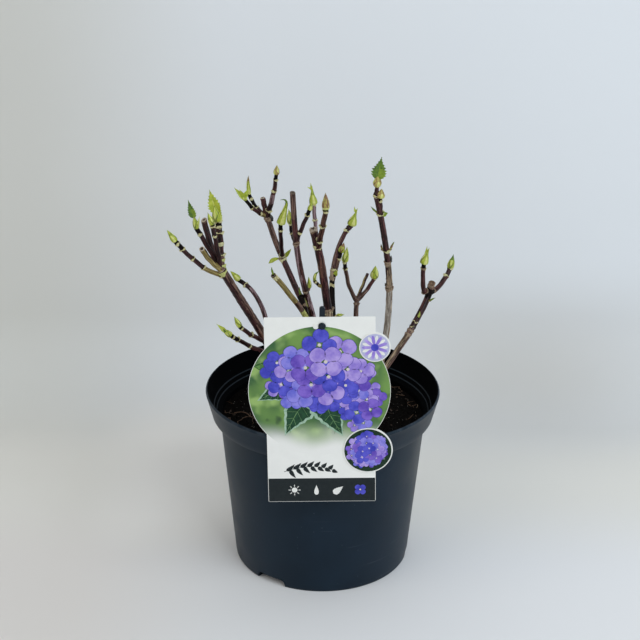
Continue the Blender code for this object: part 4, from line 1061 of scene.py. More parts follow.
def addShootTip(buds, leaves, limb, seed):
    length, width, kind, towards = limb["bud"]
    base = placeAt(limb, 1.0) - wayAt(limb, 1.0) * growth["budSink"]
    way = direction(*towards)
    look = limb.get("look", "green")
    if kind == "crowned":
        addBud(buds, base, way, length, width, look, seed, budShapes["round"])
        addLeaf(leaves, base + way * length * crown["at"], direction(*crown["heading"]),
                direction(*crown["face"]), crown["length"], crown["width"], **crown["blade"], seed=seed)
    elif kind == "leaf":
        addLeaf(leaves, base, way, direction(*limb.get("facing", (268, 60))), length, width, fold=20,
                curl=limb.get("curl", -24), tone=limb.get("look", "leaf"), rise=limb.get("rise", 0.62),
                bite=0.0, rows=15, veins=3, seed=seed)
    elif kind in openings:
        share, full, shape, parts = openings[kind]
        addBud(buds, base, way, length * share, width * full, look, seed, budShapes[shape])
        for k, (foot, heading, facing, long, wide, fold, curl, tone) in enumerate(parts):
            bite, rows = (0.17, 17) if wide > 0.9 else (0.0, 13)
            addLeaf(leaves, base + way * length * foot, direction(*heading), direction(*facing),
                    length * long, width * wide, fold=fold, curl=curl, tone=tone, rise=0.60, drawn=0.30,
                    bite=bite, rows=rows, veins=5, seed=seed + k)
    else:
        addBud(buds, base, way, length, width, look, seed, budShapes[kind])


# the plant's pieces

def makePlant():
    limbs = growPlant()
    horns = []
    wood = newPiece("canes_bark", barks)
    for k, limb in enumerate(limbs.values()):
        addLimb(wood, limb, 0.0, limb["ends"], bark["caneSides"], k + 1, horns)
    shoots = newPiece("shoots_bark", barks)
    buds = newPiece("buds", greens)
    leaves = newPiece("leaves", greens)
    seed = 20
    for caneName, specs in heads.values():
        cane = limbs[caneName]
        number = list(limbs).index(caneName) + 1
        addLimb(shoots, cane, cane["ends"] - 0.005, 1.0, bark["caneSides"], number, horns)
        for spec in specs:
            seed += 1
            limb = growLimb(placeAt(limbs[spec.get("on", caneName)], spec["at"]), spec)
            addLimb(shoots, limb, 0.0, 1.0, bark["shootSides"], seed, horns)
            if limb["bud"]:
                addShootTip(buds, leaves, limb, seed)
    for spec in sideShoots.values():
        seed += 1
        limb = growLimb(placeAt(limbs[spec["parent"]], spec["at"]), spec)
        addLimb(shoots, limb, 0.0, 1.0, bark["shootSides"], seed, horns)
        addShootTip(buds, leaves, limb, seed)
    rideRoot(buildPiece(wood), "cane_wood", *canes)
    rideRoot(buildPiece(shoots), "shoots", *heads, *sideShoots)
    rideRoot(buildPiece(buds), "shoots")
    makeScars(horns)
    rideRoot(buildPiece(leaves), "shoots")
    print("plant:", len(horns), "leaf scars")


# pot

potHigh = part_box("pot")[1]
potShape = dict(
    height=potHigh.z, rimRadius=potHigh.x, bandHeight=0.026, bandTaper=0.0059, bandStep=0.0074,
    bandLedge=0.0012, baseRadius=0.085, baseRounding=0.005, heel=0.001, wallFoot=0.012, wall=0.0016,
    floor=0.0024, sides=224, outOfRound=0.0004,
    drainCount=3, drainWidth=0.032, drainHeight=0.0075, drainDepth=0.012, drainBearing=235.0)


def makePotPlastic(name, dark, light, roughness, shine, topHighlight=0.0):
    material, tree, shader, place = newMaterial(name)
    values = {"Place": place, "Broad": 22.0, "Fine": 900.0, "Share of fine": 0.2}
    uneven = placeGroup(tree, mottleGroup, values)
    colour = mixColours(tree, uneven["Mask"], opaque(dark), opaque(light))
    dust = placeGroup(tree, speckGroup, {"Place": place, "Scale": 260.0, "Size": 0.10, "Amount": 0.10})
    rub = placeGroup(tree, scratchGroup, {"Place": place, "Amount": 0.5})
    dusty = addMath(tree, "MULTIPLY", dust["Mask"], 0.35)
    marks = addMath(tree, "MAXIMUM", dusty, addMath(tree, "MULTIPLY", rub["Mask"], 0.4))
    # painted highlight: the lip is painted paler in patches along its top edge
    height = axes(tree, place)["Z"]
    patches = addRange(tree, addNoise(tree, place, 90.0, 5.0, 0.65), 0.44, 0.66, 0.15, 1.0)
    paintedTopHighlight = addMath(tree, "MULTIPLY", addRange(tree, height, 0.1735, 0.1772, 0.0, topHighlight), patches)
    marks = addMath(tree, "MAXIMUM", marks, paintedTopHighlight)
    # paler at dust specks, rub marks and the painted top-edge highlight
    colour = mixColours(tree, addMath(tree, "MULTIPLY", marks, 0.5), colour, opaque((0.14, 0.16, 0.19)))
    rough = addRange(tree, uneven["Mask"], 0.0, 1.0, roughness - 0.04, roughness + 0.05)
    rough = addMath(tree, "ADD", rough, addMath(tree, "MULTIPLY", marks, 0.2))
    setInputs(tree, shader, {"Base Color": colour, "Roughness": rough, "Specular IOR Level": shine,
                             "Specular Tint": opaque((0.68, 0.87, 1.0))})
    addBump(tree, shader, uneven["Grain"], 0.18, 0.0003)
    return material


def potWall(height):
    shape = potShape
    bandBottom = shape["height"] - shape["bandHeight"]
    top = shape["rimRadius"] - shape["bandTaper"] - shape["bandStep"]
    share = min(1.0, max(0.0, (height - shape["baseRounding"]) / (bandBottom - shape["baseRounding"])))
    foot = shape["baseRadius"] + shape["heel"]
    return foot + (top - foot) * share


def turnProfile(profile, sides):
    # (radius, height) points turned round Z
    turn = fullTurn(sides)
    points = [[(r * math.cos(t), r * math.sin(t), z) for t in turn] for r, z in profile]
    return np.array(points)


def makePot(material, inside, edge):
    shape = potShape
    top, rim = shape["height"], shape["rimRadius"]
    bandBottom = top - shape["bandHeight"]
    bandRadius = rim - shape["bandTaper"]
    wall, floor = shape["wall"], shape["floor"]
    lip = [(rim - 0.0004, top - 0.0030), (rim - 0.0001, top - 0.0024), (rim, top - 0.0017),
           (rim - 0.0002, top - 0.0009), (rim - 0.0007, top - 0.0003), (rim - 0.0014, top),
           (rim - 0.0021, top - 0.0003), (rim - 0.0026, top - 0.0010), (rim - 0.0029, top - 0.0022)]
    outer = [(0.0005, 0.0), (shape["baseRadius"] - 0.003, 0.0), (shape["baseRadius"], 0.0002),
             (shape["baseRadius"] + 0.0006, 0.0012), (shape["baseRadius"] + 0.0009, 0.003),
             (potWall(shape["wallFoot"]), shape["wallFoot"])]
    outer += [(potWall(z), z) for z in np.linspace(0.02, bandBottom - 0.0006, 12)]
    outer += [(potWall(bandBottom) + 0.0005, bandBottom + 0.0001), (bandRadius - 0.0022, bandBottom + 0.0004),
              (bandRadius - 0.0006, bandBottom + 0.0008),
              (bandRadius, bandBottom + shape["bandLedge"] + 0.0006)]
    outer += [(bandRadius + (rim - 0.0004 - bandRadius) * s,
               bandBottom + 0.002 + (top - 0.0032 - bandBottom - 0.002) * s)
              for s in (0.25, 0.5, 0.75)]
    inner = [(bandRadius - wall, 0.1606), (bandRadius - wall - 0.0009, 0.1597),
             (bandRadius - wall - 0.0016, 0.1588), (bandRadius - wall - 0.0026, 0.1562),
             (bandRadius - wall - 0.0034, 0.1553), (potWall(bandBottom) - wall + 0.0010, 0.1532),
             (potWall(bandBottom) - wall, 0.1522)]
    inner += [(potWall(z) - wall, z) for z in np.linspace(0.14, shape["wallFoot"], 6)]
    inner += [(shape["baseRadius"] - wall, floor * 1.4), (shape["baseRadius"] - wall * 2.2, floor),
              (0.0005, floor)]
    profile = outer + lip + inner
    rings = turnProfile(profile, shape["sides"])
    turn = fullTurn(shape["sides"])
    height = rings[:, :, 2]
    squeeze = shape["outOfRound"] * (np.cos(2 * turn + 0.9) - 1) * np.clip((height - 0.1) / 0.078, 0, 1)
    flat = rings[:, :, :2]
    size = np.maximum(np.linalg.norm(flat, axis=2, keepdims=True), 1e-9)
    rings[:, :, :2] = flat * (1 + squeeze[..., None] / size)
    piece = newPiece("pot_shell", {"plastic": material, "inside": inside, "edge": edge})
    tones = np.zeros((len(profile) - 1, shape["sides"]), int)
    # painted shade: from the inner half of the lip down, the pot takes the far darker inside plastic
    tones[len(outer) + 5:] = 1
    # painted highlight: two rows of the inner step take the lighter step plastic
    for row in (0, 3):
        tones[len(outer) + len(lip) + row] = 2
    addTube(piece, rings, tones.ravel())
    obj = buildPiece(piece, 32.0)
    cutDrains(obj, material)
    return rideRoot(obj, "pot_plastic", "pot")


def cutDrains(obj, material):
    shape = potShape
    half, height = shape["drainWidth"] / 2, shape["drainHeight"]
    rounding = height * 0.7
    arc = np.linspace(0, math.pi / 2, 7)
    right = [(half - rounding + rounding * math.cos(t),
              height - rounding + rounding * math.sin(t)) for t in arc]
    outline = [(-half, -0.002), (half, -0.002)] + right + [(-a, z) for a, z in right[::-1]]
    for k in range(shape["drainCount"]):
        turn = math.radians(shape["drainBearing"] + 360 / shape["drainCount"] * k)
        out = np.array((math.cos(turn), math.sin(turn), 0.0))
        along = np.array((-math.sin(turn), math.cos(turn), 0.0))
        rings = [[out * reach + along * a + np.array((0, 0, z)) for a, z in outline]
                 for reach in (shape["baseRadius"] - shape["drainDepth"],
                               shape["baseRadius"] + shape["drainDepth"])]
        cutter = newPiece("drain_cutter", {"plastic": material})
        addTube(cutter, np.array(rings), np.zeros(len(outline), int))
        applyBoolean(obj, buildPiece(cutter), "DIFFERENCE", "EXACT")
    obj.data.shade_smooth()
    obj.data.set_sharp_from_angle(angle=math.radians(32))


# compost

soilShape = dict(top=0.150, crownRadius=0.055, edgeDrop=0.0025, edge=0.0978, rings=90, sides=240,
                 relief=0.0016)


def soilHeight(radius, turn):
    shape = soilShape
    share = np.clip((radius - shape["crownRadius"]) / (shape["edge"] - shape["crownRadius"]), 0, 1)
    lumps = ripple(71, np.round(turn, 6), radius * 0.35) + 0.5 * ripple(72, turn * 3, radius)
    return shape["top"] - shape["edgeDrop"] * share ** 1.4 + shape["relief"] * 0.35 * lumps


def makeSoil(material):
    shape = soilShape
    radii = np.linspace(0.0008, shape["edge"], shape["rings"])[:, None]
    turn = fullTurn(shape["sides"])[None, :]
    heights = soilHeight(radii, turn)
    top = np.stack([radii * np.cos(turn), radii * np.sin(turn), heights], -1)
    sides = turnProfile([(potWall(0.14) - 0.0021, 0.14), (potWall(0.012) - 0.0021, 0.012),
                         (0.0700, 0.0100), (0.0695, 0.0028), (0.0008, 0.0028)], shape["sides"])
    piece = newPiece("compost_bed", {"peat": material})
    rings = np.concatenate([top, sides])
    addTube(piece, rings, np.zeros((len(rings) - 1) * shape["sides"], int))
    return rideRoot(buildPiece(piece, 60.0), "compost", "soil")


# camera, light and stage

viewpoint = dict(distance=1.43, height=0.885, pitch=24.0, pan=-0.12, roll=0.36, lens=92.8125)


def makeCamera():
    pitch, pan, roll = (math.radians(viewpoint[k]) for k in ("pitch", "pan", "roll"))
    forward = Vector((math.sin(pan) * math.cos(pitch), math.cos(pan) * math.cos(pitch), -math.sin(pitch)))
    level = Vector((math.cos(pan), -math.sin(pan), 0.0))
    upright = level.cross(forward)
    right = level * math.cos(roll) + upright * math.sin(roll)
    top = upright * math.cos(roll) - level * math.sin(roll)
    data = bpy.data.cameras.new("camera")
    data.sensor_width = 36.0
    data.lens = viewpoint["lens"]
    data.dof.use_dof = False
    camera = bpy.data.objects.new("camera", data)
    bpy.context.scene.collection.objects.link(camera)
    turned = Matrix((right, top, -forward)).transposed().to_4x4()
    camera.matrix_world = Matrix.Translation((0.0, -viewpoint["distance"], viewpoint["height"])) @ turned
    bpy.context.scene.camera = camera


studio = dict(wallFrom=0.25, wallBend=0.10, halfWidth=2.6, near=-2.6, wallTop=3.0,
              worldColour=(0.86, 0.94, 1.0), worldStrength=0.38)
lamps = {
    "window light": dict(place=(1.2, -1.4, 1.6), aim=(0.20, 0.1, 0.25), size=(1.6, 1.4), watts=29.0,
                         colour=(0.87, 0.95, 1.0)),
    "left fill": dict(place=(-1.5, -1.1, 1.5), aim=(0.0, 0.1, 0.2), size=(1.5, 1.5), watts=10.5,
                      colour=(1.0, 0.95, 0.87)),
}


paperTone = (0.670, 0.662, 0.630), (0.690, 0.682, 0.650)
# painted light and shade on the paper: lighter on the right of the wall and over the floor, a darker front
# that is lighter on its right, a darker crease low on the wall behind the pot, and a lighter patch left of
# the pot that lifts its shadow; each faded in along one or more axes: (axis, from, to, share from, share to)
paperLightAndShade = {
    "painted light, right wall": ((0.796, 0.812, 0.842), (("X", -0.36, -0.08),)),
    "floor": ((0.820, 0.788, 0.736), (("Y", 0.34, 0.16),)),
    "front": ((0.768, 0.722, 0.690), (("Y", 0.12, -0.05),)),
    "painted shade, crease": ((0.620, 0.606, 0.585),
               (("X", -0.04, 0.21), ("Z", 0.18, 0.02), ("Y", 0.12, 0.33), ("X", 0.24, 0.46, 1.0, 0.45))),
    "painted light, left of the pot": ((0.925, 0.890, 0.850),
                        (("X", -0.27, -0.17), ("X", -0.06, -0.13), ("Y", 0.32, 0.22), ("Y", -0.04, 0.06))),
}
# painted light: the front of the floor is painted lighter on its right
paintedLightFrontRight = dict(tone=(0.828, 0.816, 0.822), ramp=("X", -0.26, -0.06))  # the front's tone on its right


def makeBackdropPaintedLight():
    material, tree, shader, place = newMaterial("backdrop paper, painted light and shade")
    mask = placeGroup(tree, mottleGroup, {"Place": place, "Broad": 2.0, "Fine": 500.0, "Share of fine": 0.1})
    parts = axes(tree, place)
    paper = mixColours(tree, mask["Mask"], opaque(paperTone[0]), opaque(paperTone[1]))
    # painted light and shade on the paper, zone by zone
    for name, (tone, ramps) in paperLightAndShade.items():
        shares = [addRange(tree, parts[axis], *limits) for axis, *limits in ramps]
        share = shares[0]
        for other in shares[1:]:
            share = addMath(tree, "MULTIPLY", share, other)
        colour = opaque(tone)
        if name == "front":
            axis, *limits = paintedLightFrontRight["ramp"]
            colour = mixColours(tree, addRange(tree, parts[axis], *limits), colour,
                                opaque(paintedLightFrontRight["tone"]))
        paper = mixColours(tree, share, paper, colour)
    setInputs(tree, shader, {"Base Color": paper, "Roughness": 0.75})
    clear = tree.nodes.new("ShaderNodeBsdfTransparent")
    behind = tree.nodes.new("ShaderNodeNewGeometry").outputs["Backfacing"]
    mixed = addNode(tree, "ShaderNodeMixShader", {0: behind, 1: shader.outputs[0], 2: clear.outputs[0]})
    tree.links.new(mixed.outputs[0], tree.nodes["Material Output"].inputs["Surface"])
    return material


def makeStage(material):
    start, bend = studio["wallFrom"], studio["wallBend"]
    arc = np.linspace(0, math.pi / 2, 24)
    profile = [(studio["near"], 0.0), (-0.5, 0.0), (0.0, 0.0)]
    profile += [(start + bend * math.sin(t), bend * (1 - math.cos(t))) for t in arc]
    profile += [(start + bend, studio["wallTop"])]
    half = studio["halfWidth"]
    points = [[(x, y, z) for x in (half, -half)] for y, z in profile]
    piece = newPiece("backdrop", {"paper": material})
    addFaces(piece, points, gridFaces(len(profile), 2, False)[:, ::-1], "paper")
    obj = buildPiece(piece, 60.0, outward=False)
    return obj


def makeLights():
    for name, lamp in lamps.items():
        data = bpy.data.lights.new(name, "AREA")
        data.shape = "RECTANGLE"
        data.size, data.size_y = lamp["size"]
        data.energy = lamp["watts"]
        data.color = lamp["colour"]
        light = bpy.data.objects.new(name, data)
        light.location = lamp["place"]
        aim = Vector(lamp["aim"]) - Vector(lamp["place"])
        light.rotation_euler = aim.to_track_quat("-Z", "Y").to_euler()
        bpy.context.scene.collection.objects.link(light)
    world = bpy.data.worlds.new("studio world")
    world.use_nodes = True
    background = world.node_tree.nodes["Background"]
    background.inputs["Color"].default_value = opaque(studio["worldColour"])
    background.inputs["Strength"].default_value = studio["worldStrength"]
    bpy.context.scene.world = world


# shapes repeated by Geometry Nodes

def newGeometryTree(name, inputs):
    sockets = {"Geometry": "Geometry", "Shape": "Object", **inputs, "Finish": "Material"}
    return newTree(name, "GeometryNodeTree", sockets, ("Geometry",), "NodeSocketGeometry")


def endTree(tree, geometry, material, result):
    whole = addNode(tree, "GeometryNodeRealizeInstances", {"Geometry": geometry}).outputs[0]
    finished = addNode(tree, "GeometryNodeSetMaterial", {"Geometry": whole, "Material": material}).outputs[0]
    setInputs(tree, result, {"Geometry": finished})


def makeScatterTree():
    # copies of one small shape strewn over a surface, each turned and sized at random
    tree, source, result = newGeometryTree("strew over a surface", {
        "Amount per m2": 1000.0, "Smallest": 0.5, "Largest": 1.0, "Tumble": 0.5, "Seed": 1})
    spread = addNode(tree, "GeometryNodeDistributePointsOnFaces",
                     {"Mesh": source["Geometry"], "Density": source["Amount per m2"], "Seed": source["Seed"]})
    size = addNode(tree, "FunctionNodeRandomValue",
                   {2: source["Smallest"], 3: source["Largest"], 8: source["Seed"]},
                   data_type="FLOAT").outputs[1]
    spin = addNode(tree, "FunctionNodeRandomValue",
                   {0: (-3.2, -3.2, -3.2), 1: (3.2, 3.2, 3.2), 8: source["Seed"]},
                   data_type="FLOAT_VECTOR").outputs[0]
    lean = addNode(tree, "ShaderNodeCombineXYZ",
                   {0: source["Tumble"], 1: source["Tumble"], 2: 1.0}).outputs[0]
    turned = addNode(tree, "ShaderNodeVectorMath", {0: spin, 1: lean}, operation="MULTIPLY").outputs[0]
    shape = addNode(tree, "GeometryNodeObjectInfo", {"Object": source["Shape"]}).outputs["Geometry"]
    copies = addNode(tree, "GeometryNodeInstanceOnPoints",
                     {"Points": spread.outputs["Points"], "Instance": shape, "Rotation": turned,
                      "Scale": size})
    endTree(tree, copies.outputs[0], source["Finish"], result)
    return tree


def makePlacingTree():
    # copies of one shape on given points, each turned to that point's own "upward" and "outward" and
    # scaled by its "size"
    tree, source, result = newGeometryTree("place on points", {"Scale": 1.0})
    points = addNode(tree, "GeometryNodeMeshToPoints", {"Mesh": source["Geometry"]}).outputs[0]
    upward, outward, size = (
        addNode(tree, "GeometryNodeInputNamedAttribute", {"Name": name}, data_type=kind).outputs[0]
        for name, kind in (("upward", "FLOAT_VECTOR"), ("outward", "FLOAT_VECTOR"), ("size", "FLOAT")))
    turned = addNode(tree, "FunctionNodeAxesToRotation", {0: upward, 1: outward}).outputs[0]
    shape = addNode(tree, "GeometryNodeObjectInfo", {"Object": source["Shape"]}).outputs["Geometry"]
    scaled = addMath(tree, "MULTIPLY", size, source["Scale"])
    copies = addNode(tree, "GeometryNodeInstanceOnPoints",
                     {"Points": points, "Instance": shape, "Rotation": turned, "Scale": scaled})
    endTree(tree, copies.outputs[0], source["Finish"], result)
    return tree


def runTree(obj, tree, values):
    # the plain mesh that a tree makes from an object, whose modifier is then removed
    modifier = obj.modifiers.new("grown", "NODES")
    modifier.node_group = tree
    for item in tree.interface.items_tree:
        if item.in_out == "INPUT" and item.name in values:
            modifier[item.identifier] = values[item.name]
    graph = bpy.context.evaluated_depsgraph_get()
    mesh = bpy.data.meshes.new_from_object(obj.evaluated_get(graph))
    obj.modifiers.remove(modifier)
    return mesh


def pointsObject(places, upward, outward, sizes):
    mesh = bpy.data.meshes.new("points")
    mesh.from_pydata([tuple(p) for p in places], [], [])
    for name, kind, rows in (("upward", "FLOAT_VECTOR", upward), ("outward", "FLOAT_VECTOR", outward)):
        mesh.attributes.new(name, kind, "POINT").data.foreach_set("vector",
                                                                  np.asarray(rows, np.float32).ravel())
    mesh.attributes.new("size", "FLOAT", "POINT").data.foreach_set("value", np.asarray(sizes, np.float32))
    return meshObject("points", mesh)


def placeCopies(shape, finish, places, upward, outward, sizes):
    points = pointsObject(places, upward, outward, sizes)
    mesh = runTree(points, placingTree, {"Shape": shape, "Scale": 1.0, "Finish": finish})
    dropObjects(points)
    return mesh


def joinMeshes(name, meshes, smoothAngle=45.0):
    # one object from several meshes, each keeping its own materials
    work = bmesh.new()
    materials = []
    for mesh in meshes:
        first = len(work.faces)
        work.from_mesh(mesh)
        work.faces.ensure_lookup_table()
        numbers = []
        for material in mesh.materials:
            if material not in materials:
                materials.append(material)
            numbers.append(materials.index(material))
        for face in work.faces[first:]:
            face.material_index = numbers[face.material_index] if numbers else 0
    joined = bpy.data.meshes.new(name)
    work.to_mesh(joined)
    work.free()
    for material in materials:
        joined.materials.append(material)
    joined.shade_smooth()
    joined.set_sharp_from_angle(angle=math.radians(smoothAngle))
    return meshObject(name, joined)


scatterTree = makeScatterTree()
placingTree = makePlacingTree()


# what lies on the compost

litter = {
    # shape: amount per m2, smallest, largest, tumble, tone
    "crumb": dict(amount=120000, sizes=(0.0007, 0.0022), tumble=1.0, seed=3, tone="peat"),
    "clod": dict(amount=9000, sizes=(0.0022, 0.0042), tumble=1.0, seed=5, tone="peat"),
    "chip": dict(amount=5200, sizes=(0.0020, 0.0052), tumble=0.25, seed=7, tone="bark chip"),
    "fibre": dict(amount=2600, sizes=(0.0050, 0.0150), tumble=0.12, seed=11, tone="fibre"),
    "straw": dict(amount=260, sizes=(0.0080, 0.0220), tumble=0.08, seed=13, tone="straw"),
    "speck": dict(amount=9000, sizes=(0.0003, 0.0008), tumble=1.0, seed=17, tone="speck"),
}
litterTones = {
    "peat": makeGritty("compost crumb", (0.0014, 0.0011, 0.0010), (0.0065, 0.0045, 0.0034), 900.0,
                       shine=0.05),
    "bark chip": makeGritty("bark chip", (0.016, 0.0085, 0.0050), (0.062, 0.032, 0.018), 700.0, 0.8),
    "fibre": makeGritty("root fibre", (0.085, 0.042, 0.022), (0.210, 0.118, 0.064), 700.0, 0.7),
    "straw": makeGritty("straw", (0.200, 0.130, 0.070), (0.380, 0.280, 0.170), 700.0, 0.6),
    "speck": makeGritty("mineral speck", (0.300, 0.270, 0.230), (0.560, 0.530, 0.480), 900.0, 0.7),
}


def lumpShape(name, stretch, seed):
    # an uneven pebble of unit size
    work = bmesh.new()
    bmesh.ops.create_icosphere(work, subdivisions=1, radius=0.5)
    rng = np.random.default_rng(seed)
    for vertex in work.verts:
        vertex.co = vertex.co * rng.uniform(0.72, 1.15)
        vertex.co.x *= stretch[0]
        vertex.co.y *= stretch[1]
        vertex.co.z *= stretch[2]
    mesh = bpy.data.meshes.new(name)
    work.to_mesh(mesh)
    work.free()
    return meshObject(name, mesh)


def fibreShape(name, thickness, bend, seed):
    # a bent thread of unit length, lying along X
    piece = newPiece(name, {"thread": litterTones["fibre"]})
    along = np.linspace(0, 1, 7)
    rng = np.random.default_rng(seed)
    middle = np.stack([along - 0.5, bend * np.sin(along * 3.4) * rng.uniform(0.6, 1.2),
                       0.08 + bend * 0.5 * np.sin(along * 5.0 + 1)], -1)
    turns = fullTurn(4)
    ring = np.stack([0 * turns, np.cos(turns), np.sin(turns)], -1)
    sizes = thickness * (1 - 0.5 * np.abs(along - 0.4))
    addTube(piece, middle[:, None] + ring[None] * sizes[:, None, None], np.zeros(24, int))
    return buildPiece(piece)


def makeLitter(ground):
    shapes = {"crumb": lumpShape("crumb", (1.0, 0.85, 0.7), 1), "clod": lumpShape("clod", (1.1, 0.9, 0.6), 2),
              "chip": lumpShape("chip", (1.3, 0.7, 0.28), 3), "fibre": fibreShape("fibre", 0.022, 0.16, 4),
              "straw": fibreShape("straw", 0.030, 0.07, 5), "speck": lumpShape("speck", (1.0, 1.0, 0.8), 6)}
    meshes = []
    for name, kind in litter.items():
        meshes.append(runTree(ground, scatterTree, {
            "Shape": shapes[name], "Amount per m2": float(kind["amount"]), "Smallest": kind["sizes"][0],
            "Largest": kind["sizes"][1], "Tumble": kind["tumble"], "Seed": kind["seed"],
            "Finish": litterTones[kind["tone"]]}))
    dropObjects(*shapes.values())
    strewn = joinMeshes("compost_litter", meshes, 40.0)
    return rideRoot(strewn, "compost")


# roots bared on the compost: start, bearing, length, how far it bows, thickness
roots = (
    ((-0.0860, -0.0018), -54, 0.050, 0.010, 0.00062), ((-0.0748, -0.0150), -104, 0.020, -0.005, 0.00042),
    ((-0.0708, -0.0060), -82, 0.021, 0.003, 0.00036), ((-0.0953, 0.0052), -28, 0.014, -0.003, 0.00034),
    ((0.0700, 0.0620), -62, 0.017, 0.004, 0.00032), ((0.0860, 0.0160), 70, 0.012, 0.004, 0.00026),
    ((0.0620, -0.0460), 20, 0.014, -0.004, 0.00028),
)


def makeRoots():
    look = makeGritty("bared root", (0.062, 0.030, 0.016), (0.170, 0.094, 0.050), 700.0, 0.7)
    piece = newPiece("bared_roots", {"root": look})
    turns = fullTurn(6)
    for k, (start, bearing, length, bow, thickness) in enumerate(roots):
        share = np.linspace(0, 1, 22)
        way = np.array((math.cos(math.radians(bearing)), math.sin(math.radians(bearing))))
        aside = np.array((-way[1], way[0]))
        bend = bow * np.sin(math.pi * share)
        bend = bend + 0.0012 * np.sin(share * 13 + k) + 0.0006 * np.sin(share * 31 + 2 * k)
        flat = np.array(start) + share[:, None] * length * way + bend[:, None] * aside
        height = soilHeight(np.hypot(flat[:, 0], flat[:, 1]), np.arctan2(flat[:, 1], flat[:, 0]))
        height = height + 0.0014 + 0.0009 * np.sin(share * 9 + k)
        middle = np.column_stack([flat, height])
        along = np.gradient(middle, axis=0)
        along = along / np.linalg.norm(along, axis=1, keepdims=True)
        side, other = carriedSides(along)
        size = thickness * (0.9 - 0.6 * share) * (1 + 0.18 * np.sin(share * 40 + k))
        rings = [m + size[i] * (np.cos(turns)[:, None] * side[i] + np.sin(turns)[:, None] * other[i])
                 for i, m in enumerate(middle)]
        addTube(piece, np.array(rings), np.zeros(21 * 6, int))
    return rideRoot(buildPiece(piece), "compost")


def makeGround():
    # the compost's face alone, for what is strewn on it
    shape = soilShape
    radii = np.linspace(0.004, shape["edge"] - 0.0022, 60)[:, None]
    turn = fullTurn(160)[None, :]
    points = np.stack([radii * np.cos(turn), radii * np.sin(turn), soilHeight(radii, turn) + 0.0001], -1)
    piece = newPiece("ground", {"peat": litterTones["peat"]})
    addFaces(piece, points, gridFaces(60, 160, True)[:, ::-1], "peat")
    obj = buildPiece(piece, outward=False)
    if obj.data.polygons[0].normal.z < 0:
        obj.data.flip_normals()
    return obj


# label

cardShape = dict(
    width=0.098, height=0.183, top=0.301, thick=0.0006, corner=0.0010, backLean=1.2, turn=1.08,
    topX=-0.0032, topY=-0.1116, disc=(-0.001, 0.072, 0.0635), upperBadge=(0.0483, 0.0292, 0.0141),
    lowerBadge=(0.042, 0.1307, 0.0225), hole=(0.0021, 0.0083, 0.0021))
inkLayer = 0.00002


def cardMatrix():
    # from the card's own (across, down, towards the front) to its place
    turn, lean = math.radians(cardShape["turn"]), math.radians(cardShape["backLean"])
    front = Vector((0.0, -math.cos(lean), math.sin(lean)))
    steep = Vector((0.0, -math.sin(lean), -math.cos(lean)))
    flat = Vector((1.0, 0.0, 0.0))
    across = flat * math.cos(turn) - steep * math.sin(turn)
    down = steep * math.cos(turn) + flat * math.sin(turn)
    turned = Matrix((across, down, front)).transposed().to_4x4()
    return Matrix.Translation((cardShape["topX"], cardShape["topY"], cardShape["top"])) @ turned


def circleOutline(x, y, radius, sides, start=0.0):
    turn = fullTurn(sides) + start
    return np.stack([x + radius * np.cos(turn), y + radius * np.sin(turn)], -1)


def cardOutline():
    half, corner, height = cardShape["width"] / 2, cardShape["corner"], cardShape["height"]
    points = []
    for x, y, first in ((half - corner, corner, -90), (half - corner, height - corner, 0),
                        (corner - half, height - corner, 90), (corner - half, corner, 180)):
        for k in range(7):
            turn = math.radians(first + 15 * k)
            points.append((x + corner * math.cos(turn), y + corner * math.sin(turn)))
    return np.array(points)


def startPlate(back, front):
    # a closed plate between two outlines of as many points
    work = bmesh.new()
    sheets = [[work.verts.new(point) for point in outline] for outline in (back, front)]
    work.faces.new(sheets[0])
    work.faces.new(sheets[1][::-1])
    for k in range(len(back)):
        after = (k + 1) % len(back)
        work.faces.new((sheets[0][k], sheets[1][k], sheets[1][after], sheets[0][after]))
    return work


def endPlate(work, name, material):
    bmesh.ops.recalc_face_normals(work, faces=work.faces)
    mesh = bpy.data.meshes.new(name)
    work.to_mesh(mesh)
    work.free()
    mesh.materials.append(material)
    return mesh


def cardPlate(name, outline, back, front, material):
    # an object between two depths, in the card's own frame
    work = startPlate(*([(x, y, depth) for x, y in outline] for depth in (back, front)))
    return meshObject(name, endPlate(work, name, material))


def makeCard(material):
    thick = cardShape["thick"]
    card = cardPlate("label_sheet", cardOutline(), 0.0, thick, material)
    for key, sides in (("disc", 180), ("upperBadge", 64), ("lowerBadge", 96)):
        outline = circleOutline(*cardShape[key], sides)
        applyBoolean(card, cardPlate(key, outline, 0.0, thick, material), "UNION", "MANIFOLD")
    hole = circleOutline(*cardShape["hole"], 32)
    applyBoolean(card, cardPlate("hole", hole, -thick, thick * 2, material), "DIFFERENCE", "MANIFOLD")
    card.data.transform(cardMatrix())
    card.data.shade_flat()
    return rideRoot(card, "label_card", "label_card")


def insideDisc(points, disc, margin=0.0003):
    # points past the edge of a round picture are brought back to it
    centre, radius = np.array(disc[:2]), disc[2] - margin
    away = points - centre
    far = np.linalg.norm(away, axis=-1, keepdims=True)
    return centre + away * np.minimum(1.0, radius / np.maximum(far, 1e-9))


def addInk(piece, outline, layer, tone, clip=None):
    # one flat printed shape, thicker than nothing, whose points all see its middle
    outline = np.asarray(outline, float)
    if clip is not None:
        outline = insideDisc(outline, clip)
    depth = cardShape["thick"] + layer * inkLayer
    count = len(outline)
    middle = outline.mean(0)
    top = np.column_stack([np.vstack([outline, middle]), np.full(count + 1, depth)])
    under = np.column_stack([np.vstack([outline, middle]), np.full(count + 1, cardShape["thick"] - 0.0001)])
    k = np.arange(count)
    after = (k + 1) % count
    fan = np.stack([k, after, np.full(count, count)], -1)
    rim = np.stack([k, after, after + count + 1, k + count + 1], -1)
    points = np.concatenate([top, under])
    addFaces(piece, points, np.concatenate([fan, fan[:, ::-1] + count + 1]), tone)
    addFaces(piece, points, rim, tone)


